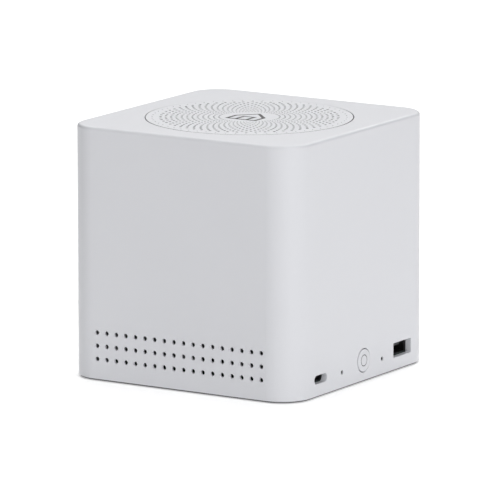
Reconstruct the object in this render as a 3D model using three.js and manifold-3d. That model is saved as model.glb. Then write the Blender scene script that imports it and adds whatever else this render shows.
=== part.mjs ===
// Smart home hub: a free-standing cube with a perforated speaker grille on top, rows of vent holes
// on the front and its sockets and button on the right side.
// Millimetres, +Z up. The origin of the finished part is on the surface that the hub stands on,
// below the middle of the housing. The front with the vents faces -Y and the sockets face +X.
import * as THREE from "three";
import { mergeVertices } from "three/addons/utils/BufferGeometryUtils.js";
import Module from "manifold-3d";

const wasm = await Module();
wasm.setup();

// ---------- driving dimensions ----------
const SIDE = 110; // width and depth of the housing
const FLOOR = 0.9; // surface that it stands on, above the level that all heights are drawn from
const HEIGHT = 107; // top face, drawn from that level
const CORNER = 13.2; // radius of the upright corners
const EDGE = 1.5; // rounding of the top edge
const WALL = 2.6;
const ROOF = 3.2;
const GAP = 0.3; // clearance between neighbouring pieces

const HALF = SIDE / 2;
const INSIDE = HALF - WALL; // inner face of each side wall
const CEILING = HEIGHT - ROOF;
const SKIRT_Z = FLOOR + 0.9; // lower edge of the housing
const REBATE = 1.4; // thickness of the lip round the base cover

const COVER_Z = FLOOR + 0.25; // underside of the base cover
const COVER_THICK = 1.95;
const COVER_TOP = COVER_Z + COVER_THICK;
const FOOT_AT = 33; // each foot's distance from the middle planes
const FOOT_R = 6.5;
const FOOT_DEPTH = 0.9; // depth of the pocket that a foot is glued in
const POST_AT = 44; // corner screw posts
const POST_R = 3.2;
const POST_TOP = 20;
const SCREW_R = 1;
const SCREW_HEAD_R = 2.4;

const BOARD_TOP = 6.6;
const BOARD_THICK = 1.6;
const BOARD_EDGE = 51.4; // edge beside the sockets
const BOARD_REAR = -47; // opposite edge
const BOARD_HALF = 40;
const BOARD_SCREWS = [[-43, -36], [-43, 36], [28, -36], [28, 36]];
const SOCKET_X = INSIDE - GAP; // front face of the sockets

const VENT_COLUMNS = 18;
const VENT_ROWS = [10.2, 15.75, 21.3];
const VENT_PITCH = 4.68;
const VENT_R = 0.92;
const VENT_WALL = 1.2; // thickness of the front wall round the vent holes

const USB_C = { y: -33.4, z: 8.55, width: 9.9, height: 3.6, shell: 9, shellHeight: 3.26, depth: 7.3 };
const USB_A = { y: 31.5, z: 9.9, width: 14.2, height: 6.2, shell: 13.4, shellHeight: 5.7, depth: 13.5 };
const RESET = { y: -16.6, z: 8.2 };
const MICROPHONE = { y: 15.3, z: 8.2 };
const PINHOLE_R = 0.85;
const PIN_R = 0.7; // what fills a pinhole
const PIN_FACE = HALF - 0.3;
const BUTTON = { y: 0.5, z: 10.15, hole: 5.1, rim: 4.7, face: HALF + 0.25, flange: 6 };

const GRILLE_R = 43;
const GRILLE_THICK = 1.6;
const GRILLE_SEAT_R = 43.3;
const GRILLE_OPENING_R = 41.2;
const EMBLEM_DEPTH = 0.4;
const EMBLEM_HALF = 7.4;
const EMBLEM_RIDGE = 8.4;
const EMBLEM_LINE = 1.3; // width of the drawn lines
const EMBLEM_DOOR = 3.2; // half the doorway's width, over its posts

const BAFFLE_TOP = 98.4;
const BAFFLE_THICK = 2.4;
const BAFFLE_POST_AT = 42;
const CHAMBER_HALF = 42;
const CHAMBER_BOTTOM = 48;
const SPEAKER_HOLE_R = 30.5;

const LARGE = 60; // sides of the grille and its seat
const FINE = 28; // sides of the speaker's turned pieces
const BUTTON_SIDES = 24;
const COARSE = 10; // sides of screws and small holes

// ---------- shapes ----------
function asSolid(geometry) {
  const bare = geometry.clone();
  bare.deleteAttribute("normal");
  bare.deleteAttribute("uv");
  const merged = mergeVertices(bare, 1e-4);
  const triVerts = new Uint32Array(merged.index.array);
  const vertProperties = merged.attributes.position.array;
  return new wasm.Manifold(new wasm.Mesh({ numProp: 3, vertProperties, triVerts }));
}

function asGeometry(solid) {
  const mesh = solid.getMesh();
  const geometry = new THREE.BufferGeometry();
  geometry.setAttribute("position", new THREE.BufferAttribute(mesh.vertProperties, 3));
  geometry.setIndex(new THREE.BufferAttribute(mesh.triVerts, 1));
  const flat = geometry.toNonIndexed();
  flat.computeVertexNormals();
  return flat;
}

function cut(solid, ...tools) {
  return tools.reduce((rest, tool) => rest.subtract(tool), solid);
}

function join(solid, ...others) {
  return others.reduce((whole, other) => whole.add(other), solid);
}

// A block between two opposite corners.
function block([x0, y0, z0], [x1, y1, z1]) {
  const box = new THREE.BoxGeometry(x1 - x0, y1 - y0, z1 - z0);
  return asSolid(box.translate((x0 + x1) / 2, (y0 + y1) / 2, (z0 + z1) / 2));
}

// A block standing at z0, centred on x and y.
function chip(x, y, z0, length, width, height) {
  return block([x - length / 2, y - width / 2, z0], [x + length / 2, y + width / 2, z0 + height]);
}

function roundedRectangle(halfX, halfY, radius) {
  const shape = new THREE.Shape();
  shape.absarc(halfX - radius, halfY - radius, radius, 0, Math.PI / 2);
  shape.absarc(radius - halfX, halfY - radius, radius, Math.PI / 2, Math.PI);
  shape.absarc(radius - halfX, radius - halfY, radius, Math.PI, 1.5 * Math.PI);
  shape.absarc(halfX - radius, radius - halfY, radius, 1.5 * Math.PI, 2 * Math.PI);
  return shape;
}

// An upright prism of a rounded square, inset from the housing's outline.
function squarePrism(inset, z0, z1, half = HALF, corner = CORNER) {
  const outline = roundedRectangle(half - inset, half - inset, corner - inset);
  const prism = new THREE.ExtrudeGeometry(outline, {
    depth: z1 - z0,
    bevelEnabled: false,
    curveSegments: 6,
  });
  return asSolid(prism.translate(0, 0, z0));
}

// A body turned about an upright axis through (x, y). The outline's points are [radius, z], and go
// anticlockwise: up the outside.
function turned(outline, x = 0, y = 0, sides = FINE) {
  const lathe = new THREE.LatheGeometry(outline.map(([r, z]) => new THREE.Vector2(r, z)), sides);
  return asSolid(lathe.rotateX(Math.PI / 2).translate(x, y, 0));
}

function ringOutline(inner, outer, z0, z1) {
  return [[inner, z0], [outer, z0], [outer, z1], [inner, z1], [inner, z0]];
}

function rod(x, y, z0, z1, radius, sides = COARSE) {
  return turned([[0, z0], [radius, z0], [radius, z1], [0, z1]], x, y, sides);
}

// The same, turned about an axis along X: the outline's points are [radius, x].
function turnedAcross(outline, y, z, sides = COARSE) {
  const lathe = new THREE.LatheGeometry(outline.map(([r, x]) => new THREE.Vector2(r, x)), sides);
  return asSolid(lathe.rotateZ(-Math.PI / 2).translate(0, y, z));
}

function rodAcross(x0, x1, y, z, radius, sides = COARSE) {
  return turnedAcross([[0, x0], [radius, x0], [radius, x1], [0, x1]], y, z, sides);
}

// A prism along X of an outline drawn in Y and Z.
function prismAcross(shape, x0, x1, y, z) {
  const prism = new THREE.ExtrudeGeometry(shape, {
    depth: x1 - x0,
    bevelEnabled: false,
    curveSegments: 5,
  });
  return asSolid(prism.rotateX(Math.PI / 2).rotateZ(Math.PI / 2).translate(x0, y, z));
}

function corners(distance) {
  return [[-1, -1], [1, -1], [1, 1], [-1, 1]].map(([sx, sy]) => [sx * distance, sy * distance]);
}

// A pan-head screw pointing up from headZ, or down from it when length is negative.
function screw(x, y, headZ, length, headR = SCREW_HEAD_R, shankR = SCREW_R, headHeight = 1.1) {
  const way = Math.sign(length);
  const profile = [
    [0, headHeight * 0.55],
    [headR * 0.42, headHeight * 0.55],
    [headR * 0.42, 0],
    [headR * 0.85, 0],
    [headR, headHeight * 0.3],
    [headR, headHeight],
    [shankR, headHeight],
    [shankR, Math.abs(length)],
    [0, Math.abs(length)],
  ];
  const outline = profile.map(([r, along]) => [r, headZ + way * along]);
  return turned(way > 0 ? outline : outline.reverse(), x, y, COARSE);
}

// ---------- housing and base ----------
// A one-piece moulding: four walls and a roof, open below, with a seat for the grille, a lip round
// the base cover, screw posts, and stakes that hold the button's retainer.
function housingShell() {
  const outline = roundedRectangle(HALF, HALF, CORNER);
  const blank = new THREE.ExtrudeGeometry(outline, {
    depth: HEIGHT,
    bevelThickness: EDGE,
    bevelSize: EDGE,
    bevelOffset: -EDGE,
    bevelSegments: 2,
    curveSegments: 6,
  });
  let shell = asSolid(blank.translate(0, 0, -EDGE));
  shell = cut(
    shell,
    block([-SIDE, -SIDE, -2 * EDGE], [SIDE, SIDE, SKIRT_Z]),
    squarePrism(WALL, -1, CEILING),
    squarePrism(REBATE, -1, COVER_TOP + GAP),
    block([-42, -HALF + VENT_WALL, 8], [42, 1 - INSIDE, 23.5]),
    rod(0, 0, HEIGHT - GRILLE_THICK - GAP, HEIGHT + 1, GRILLE_SEAT_R, LARGE),
    rod(0, 0, CEILING - 1, HEIGHT, GRILLE_OPENING_R, LARGE),
  );
  for (const [x, y] of corners(POST_AT)) shell = cornerPost(shell, x, y);
  for (const [x, y] of corners(BAFFLE_POST_AT)) {
    shell = join(shell, rod(x, y, BAFFLE_TOP + GAP, CEILING + 0.2, POST_R, 8));
    shell = cut(shell, rod(x, y, BAFFLE_TOP, CEILING + 1, SCREW_R + GAP, 8));
  }
  shell = join(shell, retainerStake(-1), retainerStake(1));
  return cutSockets(cutVents(shell));
}

function cornerPost(shell, x, y) {
  const [sx, sy] = [Math.sign(x), Math.sign(y)];
  const foot = COVER_TOP + GAP;
  const reach = HALF - WALL / 2;
  const ribX = block(
    [Math.min(x, sx * reach), y - 0.8, foot],
    [Math.max(x, sx * reach), y + 0.8, POST_TOP],
  );
  const ribY = block(
    [x - 0.8, Math.min(y, sy * reach), foot],
    [x + 0.8, Math.max(y, sy * reach), POST_TOP],
  );
  const post = join(shell, rod(x, y, foot, POST_TOP, POST_R, 8), ribX, ribY);
  return cut(post, rod(x, y, 0, POST_TOP - 5, SCREW_R + GAP, 8));
}

const STAKE = { dy: 7.3, z: 14.8, shoulder: 1.8, pin: 0.9, seat: 50.5, end: 48.9 };

function retainerStake(side) {
  const y = BUTTON.y + side * STAKE.dy;
  const shoulder = rodAcross(STAKE.seat, INSIDE + 0.5, y, STAKE.z, STAKE.shoulder, 8);
  return join(shoulder, rodAcross(STAKE.end, STAKE.seat + 0.1, y, STAKE.z, STAKE.pin, 8));
}

// Three rows of round vent holes through the front wall.
function cutVents(shell) {
  let rest = shell;
  for (const z of VENT_ROWS) {
    for (let column = 0; column < VENT_COLUMNS; column++) {
      const x = (column - (VENT_COLUMNS - 1) / 2) * VENT_PITCH;
      const hole = new THREE.CylinderGeometry(VENT_R, VENT_R, 2 * WALL, 8);
      rest = rest.subtract(asSolid(hole.translate(x, -HALF + WALL / 2, z)));
    }
  }
  return rest;
}

// The openings of the right side: two sockets, two pinholes and the button's hole.
function cutSockets(shell) {
  const [x0, x1] = [INSIDE - 0.5, HALF + 1];
  const stadium = roundedRectangle(USB_C.width / 2, USB_C.height / 2, USB_C.height / 2);
  return cut(
    shell,
    prismAcross(stadium, x0, x1, USB_C.y, USB_C.z),
    block(
      [x0, USB_A.y - USB_A.width / 2, USB_A.z - USB_A.height / 2],
      [x1, USB_A.y + USB_A.width / 2, USB_A.z + USB_A.height / 2],
    ),
    rodAcross(x0, x1, RESET.y, RESET.z, PINHOLE_R, 10),
    rodAcross(x0, x1, MICROPHONE.y, MICROPHONE.z, PINHOLE_R, 10),
    rodAcross(x0, x1, BUTTON.y, BUTTON.z, BUTTON.hole, BUTTON_SIDES),
  );
}

// A flat moulding that drops into the housing's lip, with pockets for the feet, countersunk screw
// holes, standoffs for the board and a low rib along each wall.
function baseCover() {
  let cover = squarePrism(REBATE + GAP, COVER_Z, COVER_TOP);
  const ribLow = COVER_TOP - 0.2;
  const ribHigh = BOARD_TOP - BOARD_THICK - GAP;
  const ribOut = INSIDE - GAP;
  const ribIn = ribOut - 1.1;
  for (const side of [-1, 1]) {
    const [near, far] = side < 0 ? [-ribOut, -ribIn] : [ribIn, ribOut];
    cover = join(cover, block([-32, near, ribLow], [32, far, ribHigh]));
    cover = join(cover, block([near, -32, ribLow], [far, 32, ribHigh]));
  }
  cover = cut(cover, block([40, BUTTON.y - 9, COVER_TOP], [INSIDE, BUTTON.y + 9, HEIGHT]));
  for (const [x, y] of corners(FOOT_AT)) {
    cover = cut(cover, rod(x, y, -1, COVER_Z + FOOT_DEPTH, FOOT_R + GAP, 24));
  }
  for (const [x, y] of corners(POST_AT)) {
    cover = cut(cover, rod(x, y, -1, 5, SCREW_R + 0.4), rod(x, y, -1, COVER_Z + 1.4, SCREW_HEAD_R + 0.4));
  }
  for (const [x, y] of BOARD_SCREWS) {
    cover = join(cover, rod(x, y, ribLow, ribHigh, 2.8));
    cover = cut(cover, rod(x, y, COVER_Z + 1.05, ribHigh + 1, 1.1, 8));
  }
  return cover;
}

function foot(x, y) {
  const top = COVER_Z + FOOT_DEPTH - GAP;
  const bottom = FLOOR;
  return turned([
    [0, bottom], [FOOT_R - 0.3, bottom], [FOOT_R, bottom + 0.3], [FOOT_R, top], [0, top],
  ], x, y, 24);
}

// ---------- grille ----------
// A thin disc that drops into its seat in the roof, with a shallow pocket for the emblem.
function topGrille() {
  const low = HEIGHT - GRILLE_THICK;
  const disc = rod(0, 0, low, HEIGHT, GRILLE_R, LARGE);
  return cut(disc, emblemSolid(HEIGHT - EMBLEM_DEPTH, HEIGHT + 1, 0.1));
}

// A plain house drawn in line, with its doorway, seen from above with its roof towards the rear.
function emblemSolid(z0, z1, grow) {
  const outer = houseOutline(0, grow);
  outer.holes.push(houseOutline(EMBLEM_LINE + grow, 0));
  const door = EMBLEM_DOOR + grow;
  const inside = EMBLEM_DOOR - EMBLEM_LINE - grow;
  const floor = EMBLEM_LINE - EMBLEM_HALF + grow;
  const lintel = 0.5;
  const prism = new THREE.ExtrudeGeometry(outer, { depth: z1 - z0, bevelEnabled: false });
  return cut(
    join(
      asSolid(prism.translate(0, 0, z0)),
      block([-door, floor - 0.5, z0], [door, lintel + grow, z1]),
    ),
    block([-inside, floor, z0 - 1], [inside, lintel - EMBLEM_LINE - grow, z1 + 1]),
  );
}

function houseOutline(inset, grow) {
  const wide = EMBLEM_HALF - inset + grow;
  const eave = 0.8 + grow / 2 - inset / 2;
  const shape = new THREE.Shape();
  shape.moveTo(-wide, -wide);
  shape.lineTo(wide, -wide);
  shape.lineTo(wide, eave);
  shape.lineTo(0, EMBLEM_RIDGE - 1.25 * inset + 1.25 * grow);
  shape.lineTo(-wide, eave);
  return shape;
}

function dustCloth() {
  return rod(0, 0, HEIGHT - 2.4, HEIGHT - 1.9, GRILLE_OPENING_R - 0.5, LARGE);
}

// ---------- speaker ----------
function speakerBaffle() {
  const low = BAFFLE_TOP - BAFFLE_THICK;
  let baffle = squarePrism(0, low, BAFFLE_TOP, 49, 10);
  baffle = cut(baffle, rod(0, 0, low - 1, BAFFLE_TOP + 1, SPEAKER_HOLE_R, FINE));
  for (const [x, y] of corners(BAFFLE_POST_AT)) {
    baffle = cut(baffle, rod(x, y, low - 1, BAFFLE_TOP + 1, SCREW_R + 0.4));
  }
  return baffle;
}

// An open cup under the baffle that holds the air behind the speaker.
function speakerChamber() {
  const top = BAFFLE_TOP - BAFFLE_THICK - GAP;
  const cup = squarePrism(0, CHAMBER_BOTTOM, top, CHAMBER_HALF, 12);
  return cut(
    cup,
    squarePrism(2, CHAMBER_BOTTOM + 2, top + 1, CHAMBER_HALF, 12),
    rodAcross(-CHAMBER_HALF - 1, -CHAMBER_HALF + 3, 0, LEAD_ENTRY_Z, 2.4, 10),
  );
}

// A turned rubber bush in the chamber's wall, round the lead.
function leadGrommet() {
  const wall = -CHAMBER_HALF;
  const outline = [
    [1.3, wall - 1.2],
    [3.4, wall - 1.2],
    [3.4, wall - GAP],
    [2.1, wall - GAP],
    [2.1, wall + 3],
    [1.3, wall + 3],
    [1.3, wall - 1.2],
  ];
  return turnedAcross(outline, 0, LEAD_ENTRY_Z, 10);
}

// A pressed steel frame with four windows.
function speakerBasket() {
  let basket = turned([
    [9.5, 80.3], [20.5, 80.3], [22, 86], [29.8, 97.2], [29.8, 98.7], [34.5, 98.7], [34.5, 99.9],
    [28.9, 99.9], [28.7, 97.5], [20.6, 86], [20.6, 84.6], [18.8, 84.6], [18.8, 81.5], [9.5, 81.5],
    [9.5, 80.3],
  ]);
  for (const turn of [0.25, 0.75, 1.25, 1.75]) {
    const window = new THREE.BoxGeometry(12, 14, 6);
    window.translate(26, 0, 91.4).rotateZ(turn * Math.PI);
    basket = basket.subtract(asSolid(window));
  }
  for (const [x, y] of corners(SPEAKER_SCREW_AT)) {
    basket = cut(basket, rod(x, y, 98, 101, 1.1, 8));
  }
  return basket;
}

const SPEAKER_SCREW_AT = 32.3 * Math.SQRT1_2;
const LEAD_ENTRY_Z = 88;

function magnetYoke() {
  return turned([[0, 63], [20, 63], [20, 66.7], [6, 66.7], [6, 80], [0, 80]]);
}

function voiceCoil() {
  return turned([
    [6.35, 74], [6.95, 74], [6.95, 80.5], [6.7, 80.5], [6.7, 88.4], [6.35, 88.4], [6.35, 74],
  ]);
}

function speakerCone() {
  return turned([
    [7.2, 88.5], [7.9, 88.2], [16, 93.1], [23.4, 98.1], [23.4, 98.75], [15.7, 93.8], [7.2, 89.1],
    [7.2, 88.5],
  ]);
}

// A shallow dome, as an arc of a circle through its rim and crown.
function dustCap() {
  const [rim, low, rise, steps] = [9.4, 91.2, 2.2, 3];
  const radius = (rim * rim + rise * rise) / (2 * rise);
  const dome = (r, drop) => [r, low + rise - drop - radius + Math.sqrt(radius ** 2 - r ** 2)];
  const radii = Array.from({ length: steps + 1 }, (_, i) => (rim * i) / steps);
  const under = radii.map((r) => dome(r, 0.5));
  const over = radii.map((r) => dome(r, 0)).reverse();
  return turned([...under, ...over]);
}

// The half roll of the surround, between a low lip on the cone and a lip on the basket.
function surround() {
  const [middle, roll, base, thick, steps] = [26.3, 2.7, 100.05, 0.5, 4];
  const lip = 98.85;
  const arc = (radius) =>
    Array.from({ length: steps + 1 }, (_, i) => {
      const angle = (Math.PI * i) / steps;
      return [middle - radius * Math.cos(angle), base + radius * Math.sin(angle)];
    });
  const under = arc(roll - thick / 2);
  const over = arc(roll + thick / 2).slice(1, -1).reverse();
  return turned([
    [21.9, lip], [middle - roll + thick / 2, lip], ...under, [33.2, base],
    [33.2, base + thick], [middle + roll + thick / 2, base + thick], ...over,
    [middle - roll - thick / 2, lip + thick], [21.9, lip + thick], [21.9, lip],
  ]);
}

// The corrugated cloth cup that centres the voice coil, lowest at its outer edge.
function spider() {
  const [inner, outer, low, rise, thick, waves, steps] = [7, 20.2, 84.95, 1.9, 0.4, 2, 8];
  const under = [];
  for (let i = 0; i <= steps; i++) {
    const share = i / steps;
    const wave = 0.3 * Math.sin(2 * Math.PI * waves * share);
    under.push([inner + share * (outer - inner), low + rise * (1 - share) + wave]);
  }
  const over = under.map(([r, height]) => [r, height + thick]).reverse();
  return turned([...under, ...over, under[0]]);
}

function speakerTerminal() {
  return block([-27.5, -3, 88], [-25.9, 3, 91]);
}

// ---------- board ----------
function mainBoard() {
  const low = BOARD_TOP - BOARD_THICK;
  let board = block([BOARD_REAR, -BOARD_HALF, low], [BOARD_EDGE, BOARD_HALF, BOARD_TOP]);
  board = cut(board, block([48.4, BUTTON.y - 9.4, 0], [60, BUTTON.y + 9.4, 20]));
  for (const [x, y] of BOARD_SCREWS) board = cut(board, rod(x, y, 0, 20, 1.1, 8));
  return board;
}

// A heat sink on the processor: a plate with upright fins.
function heatSink(x, y, z0) {
  let sink = chip(x, y, z0, 28, 28, 9);
  for (let slot = -3; slot <= 3; slot++) sink = cut(sink, chip(x, y + slot * 4, z0 + 2, 30, 2.4, 9));
  return sink;
}

// A folded metal strip on two legs.
function stripAntenna(x, y, length) {
  const [thick, tall] = [0.5, 6];
  const top = BOARD_TOP + tall;
  const strip = block([x, y, top - thick], [x + 3, y + length, top]);
  const leg = block([x, y, BOARD_TOP], [x + thick, y + 3, top]);
  const feed = block([x, y + 6, BOARD_TOP], [x + thick, y + 7.5, top]);
  return join(strip, leg, feed);
}

// A folded metal shell round a socket, open at the front and rear.
function socketShell(socket, wall, corner) {
  const [halfY, halfZ] = [socket.shell / 2, socket.shellHeight / 2];
  const outer = roundedRectangle(halfY, halfZ, corner);
  const inner = roundedRectangle(halfY - wall, halfZ - wall, corner - wall);
  const [x0, x1] = [SOCKET_X - socket.depth, SOCKET_X];
  return cut(
    prismAcross(outer, x0, x1, socket.y, socket.z),
    prismAcross(inner, x0 - 1, x1 + 1, socket.y, socket.z),
  );
}

function usbCTongue() {
  const { y, z } = USB_C;
  const rear = block([45.1, y - 3.2, z - 1], [46.8, y + 3.2, z + 1]);
  return join(rear, block([46.7, y - 3.3, z - 0.35], [51.3, y + 3.3, z + 0.35]));
}

function usbATongue() {
  const { y, z } = USB_A;
  const rear = block([39, y - 6, z - 2.2], [41.6, y + 6, z + 2.2]);
  return join(rear, block([41.5, y - 5.5, z + 0.1], [50.3, y + 5.5, z + 1.9]));
}

function powerButton() {
  const { y, z, face, rim, flange } = BUTTON;
  const inner = INSIDE - GAP;
  return turnedAcross([
    [0, 47.9], [1.8, 47.9], [1.8, 51], [flange, 51], [flange, inner], [rim, inner],
    [rim, face - 0.2], [rim - 0.2, face], [2.5, face], [2.5, face - 0.6], [2.1, face - 0.6],
    [2.1, face], [0, face],
  ], y, z, BUTTON_SIDES);
}

// The light guide in the cap's ring groove.
function statusLightRing() {
  const { y, z, face } = BUTTON;
  const [low, high] = [face - 0.55, face - 0.05];
  const outline = [[2.15, low], [2.45, low], [2.45, high], [2.15, high], [2.15, low]];
  return turnedAcross(outline, y, z, BUTTON_SIDES);
}

function buttonRetainer() {
  const { y, z } = BUTTON;
  const plate = block([49.2, y - 8.8, 3.6], [50.2, y + 8.8, 17.5]);
  return cut(
    plate,
    rodAcross(49, 51, y, z, 2.2),
    rodAcross(49, 51, y - STAKE.dy, STAKE.z, STAKE.pin + GAP, 8),
    rodAcross(49, 51, y + STAKE.dy, STAKE.z, STAKE.pin + GAP, 8),
  );
}

function powerSwitchBody() {
  const { y, z } = BUTTON;
  const body = block([41, y - 3, BOARD_TOP], [46, y + 3, z + 2.9]);
  return cut(body, rodAcross(44, 47, y, z, 1.4));
}

function powerSwitchPlunger() {
  return rodAcross(44.6, 47.6, BUTTON.y, BUTTON.z, 1.1);
}

function resetSwitchBody() {
  const { y, z } = RESET;
  const body = block([44, y - 2, BOARD_TOP], [48, y + 2, z + 1.4]);
  return cut(body, rodAcross(46.4, 49, y, z, 0.95));
}

function resetSwitchPlunger() {
  return rodAcross(46.8, PIN_FACE, RESET.y, RESET.z, PIN_R);
}

function microphoneCan() {
  return chip(46.4, MICROPHONE.y, BOARD_TOP, 3.8, 3, 2.6);
}

// A rubber sleeve that joins the pinhole to the microphone, with a thin nose in the pinhole.
function microphoneSleeve() {
  const { y, z } = MICROPHONE;
  const [x0, x1] = [48.5, SOCKET_X];
  return turnedAcross([
    [0.4, x0], [1.3, x0], [1.3, x1], [PIN_R, x1], [PIN_R, PIN_FACE], [0.4, PIN_FACE], [0.4, x0],
  ], y, z, COARSE);
}

// ---------- speaker lead ----------
const LEAD_PLUG = { x: -30, y: 10 };

function boardSocket() {
  const { x, y } = LEAD_PLUG;
  return cut(chip(x, y, BOARD_TOP, 7.4, 9.4, 5), chip(x, y, BOARD_TOP + 1, 6, 8, 9));
}

function leadPlug() {
  return chip(LEAD_PLUG.x, LEAD_PLUG.y, BOARD_TOP + 1.3, 5.4, 7.4, 5.2);
}

// From the speaker's terminal, out through the grommet and down to the board's plug.
function speakerLead() {
  const route = [
    [-27.8, 0, 89.3], [-33, 0, 88.3], [-39, 0, LEAD_ENTRY_Z], [-44, 0, LEAD_ENTRY_Z],
    [-47.3, 0, 84], [-47.6, 0, 76], [-47.6, 0, 60], [-47.6, 0, 46], [-45, 1, 37],
    [-38, 5, 30], [-32, 9, 22], [-30, 10, 13.4],
  ];
  const curve = new THREE.CatmullRomCurve3(route.map(([x, y, z]) => new THREE.Vector3(x, y, z)));
  const section = new THREE.Shape().absarc(0, 0, 0.9, 0, 2 * Math.PI);
  return asSolid(
    new THREE.ExtrudeGeometry(section, { steps: 30, curveSegments: 4, extrudePath: curve }),
  );
}

// ---------- assembly ----------
const hub = new THREE.Group();
const place = (name, solid, [color, roughness, metalness]) => {
  const material = new THREE.MeshStandardMaterial({ color, roughness, metalness });
  const mesh = new THREE.Mesh(asGeometry(solid).translate(0, 0, -FLOOR), material);
  mesh.name = name;
  hub.add(mesh);
};

const WHITE_PLASTIC = [0xdcdde1, 0.5, 0];
const GREY_PLASTIC = [0x9a9ca0, 0.6, 0];
const BLACK_PLASTIC = [0x17181a, 0.5, 0];
const GLOSS_BLACK = [0x0a0a0b, 0.15, 0];
const RUBBER = [0x3a3b3d, 0.85, 0];
const CLOTH = [0x1b1c1e, 0.95, 0];
const PAPER = [0x222325, 0.9, 0];
const STEEL = [0xb4b7bb, 0.35, 1];
const DARK_STEEL = [0x3c3e42, 0.45, 1];
const FERRITE = [0x2e2d2d, 0.7, 0];
const COPPER = [0xb4643a, 0.4, 1];
const ALUMINIUM = [0xc3c6ca, 0.4, 1];
const BOARD_GREEN = [0x16432c, 0.5, 0];
const EPOXY = [0x1a1a1c, 0.6, 0];
const LIGHT_GUIDE = [0x5c5f64, 0.3, 0];
const SLEEVE = [0x232426, 0.8, 0];

const SIDES = ["front_left", "front_right", "rear_right", "rear_left"];

place("housing_shell", housingShell(), WHITE_PLASTIC);
place("base_cover", baseCover(), GREY_PLASTIC);
corners(FOOT_AT).forEach(([x, y], i) => place("foot_" + SIDES[i], foot(x, y), RUBBER));
corners(POST_AT).forEach(([x, y], i) => {
  place("base_screw_" + SIDES[i], screw(x, y, COVER_Z + 0.1, 11.5), STEEL);
});
place("top_grille", topGrille(), WHITE_PLASTIC);
place("emblem", emblemSolid(HEIGHT - EMBLEM_DEPTH, HEIGHT, 0), GLOSS_BLACK);
place("dust_cloth", dustCloth(), CLOTH);

place("speaker_baffle", speakerBaffle(), BLACK_PLASTIC);
place("speaker_chamber", speakerChamber(), BLACK_PLASTIC);
corners(BAFFLE_POST_AT).forEach(([x, y], i) => {
  place("baffle_screw_" + SIDES[i], screw(x, y, 94.6, 9), STEEL);
});
place("speaker_basket", speakerBasket(), DARK_STEEL);
place("speaker_magnet", turned(ringOutline(9, 22, 67, 76.7)), FERRITE);
place("magnet_top_plate", turned(ringOutline(7.4, 19, 77, 80)), STEEL);
place("magnet_yoke", magnetYoke(), STEEL);
place("speaker_cone", speakerCone(), PAPER);
place("dust_cap", dustCap(), PAPER);
place("voice_coil", voiceCoil(), COPPER);
place("surround", surround(), RUBBER);
place("spider", spider(), CLOTH);
place("speaker_gasket", turned(ringOutline(30, 30.9, 100.8, 102.4)), CLOTH);
place("speaker_terminal", speakerTerminal(), EPOXY);
place("lead_grommet", leadGrommet(), SLEEVE);
place("speaker_lead", speakerLead(), SLEEVE);
place("lead_plug", leadPlug(), WHITE_PLASTIC);

place("main_board", mainBoard(), BOARD_GREEN);
BOARD_SCREWS.forEach(([x, y], i) => {
  place("board_screw_" + (i + 1), screw(x, y, BOARD_TOP + 1.2, -5.4, 2, 0.8), STEEL);
});
place("board_socket", boardSocket(), WHITE_PLASTIC);
place("processor", chip(-4, 6, BOARD_TOP, 15, 15, 1.3), EPOXY);
place("heat_sink", heatSink(-4, 6, BOARD_TOP + 1.4), ALUMINIUM);
place("memory_chip", chip(-4, -16, BOARD_TOP, 12, 9, 1.1), EPOXY);
place("radio_can_wide_area", chip(-30, -22, BOARD_TOP, 18, 14, 2.6), STEEL);
place("radio_can_short_range", chip(14, -24, BOARD_TOP, 16, 14, 2.6), STEEL);
place("power_inductor", chip(33, -20, BOARD_TOP, 8, 8, 4), FERRITE);
place("supply_capacitor", rod(33, -8, BOARD_TOP, BOARD_TOP + 7.7, 3.15, 16), ALUMINIUM);
place("antenna_rear", stripAntenna(-46, -14, 20), COPPER);
place("usb_c_shell", socketShell(USB_C, 0.3, 1.6), STEEL);
place("usb_c_tongue", usbCTongue(), BLACK_PLASTIC);
place("usb_a_shell", socketShell(USB_A, 0.35, 0.6), STEEL);
place("usb_a_tongue", usbATongue(), BLACK_PLASTIC);
place("microphone", microphoneCan(), STEEL);
place("microphone_sleeve", microphoneSleeve(), SLEEVE);

place("power_button", powerButton(), WHITE_PLASTIC);
place("status_light_ring", statusLightRing(), LIGHT_GUIDE);
place("button_retainer", buttonRetainer(), BLACK_PLASTIC);
place("power_switch_body", powerSwitchBody(), EPOXY);
place("power_switch_plunger", powerSwitchPlunger(), BLACK_PLASTIC);
place("reset_switch_body", resetSwitchBody(), EPOXY);
place("reset_switch_plunger", resetSwitchPlunger(), BLACK_PLASTIC);

export default hub;
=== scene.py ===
import math

import bmesh
import bpy
from mathutils import Matrix, Vector


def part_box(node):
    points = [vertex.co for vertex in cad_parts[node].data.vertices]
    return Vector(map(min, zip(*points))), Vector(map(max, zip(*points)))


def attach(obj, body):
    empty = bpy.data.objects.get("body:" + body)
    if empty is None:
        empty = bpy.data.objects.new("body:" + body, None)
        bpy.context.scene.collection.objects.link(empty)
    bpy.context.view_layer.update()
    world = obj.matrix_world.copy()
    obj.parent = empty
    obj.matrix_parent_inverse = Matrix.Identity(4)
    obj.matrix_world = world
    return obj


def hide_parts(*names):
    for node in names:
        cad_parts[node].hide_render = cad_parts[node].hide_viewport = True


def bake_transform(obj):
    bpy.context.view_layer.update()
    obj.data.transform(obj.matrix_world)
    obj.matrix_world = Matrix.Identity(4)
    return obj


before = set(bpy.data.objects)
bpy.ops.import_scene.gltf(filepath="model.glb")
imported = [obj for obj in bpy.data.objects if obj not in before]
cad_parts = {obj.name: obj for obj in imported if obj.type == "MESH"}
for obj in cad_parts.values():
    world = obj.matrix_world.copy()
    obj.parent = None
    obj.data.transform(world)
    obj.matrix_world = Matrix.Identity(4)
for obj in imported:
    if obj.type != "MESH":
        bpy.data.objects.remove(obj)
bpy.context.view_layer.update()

mm = 0.001

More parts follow.
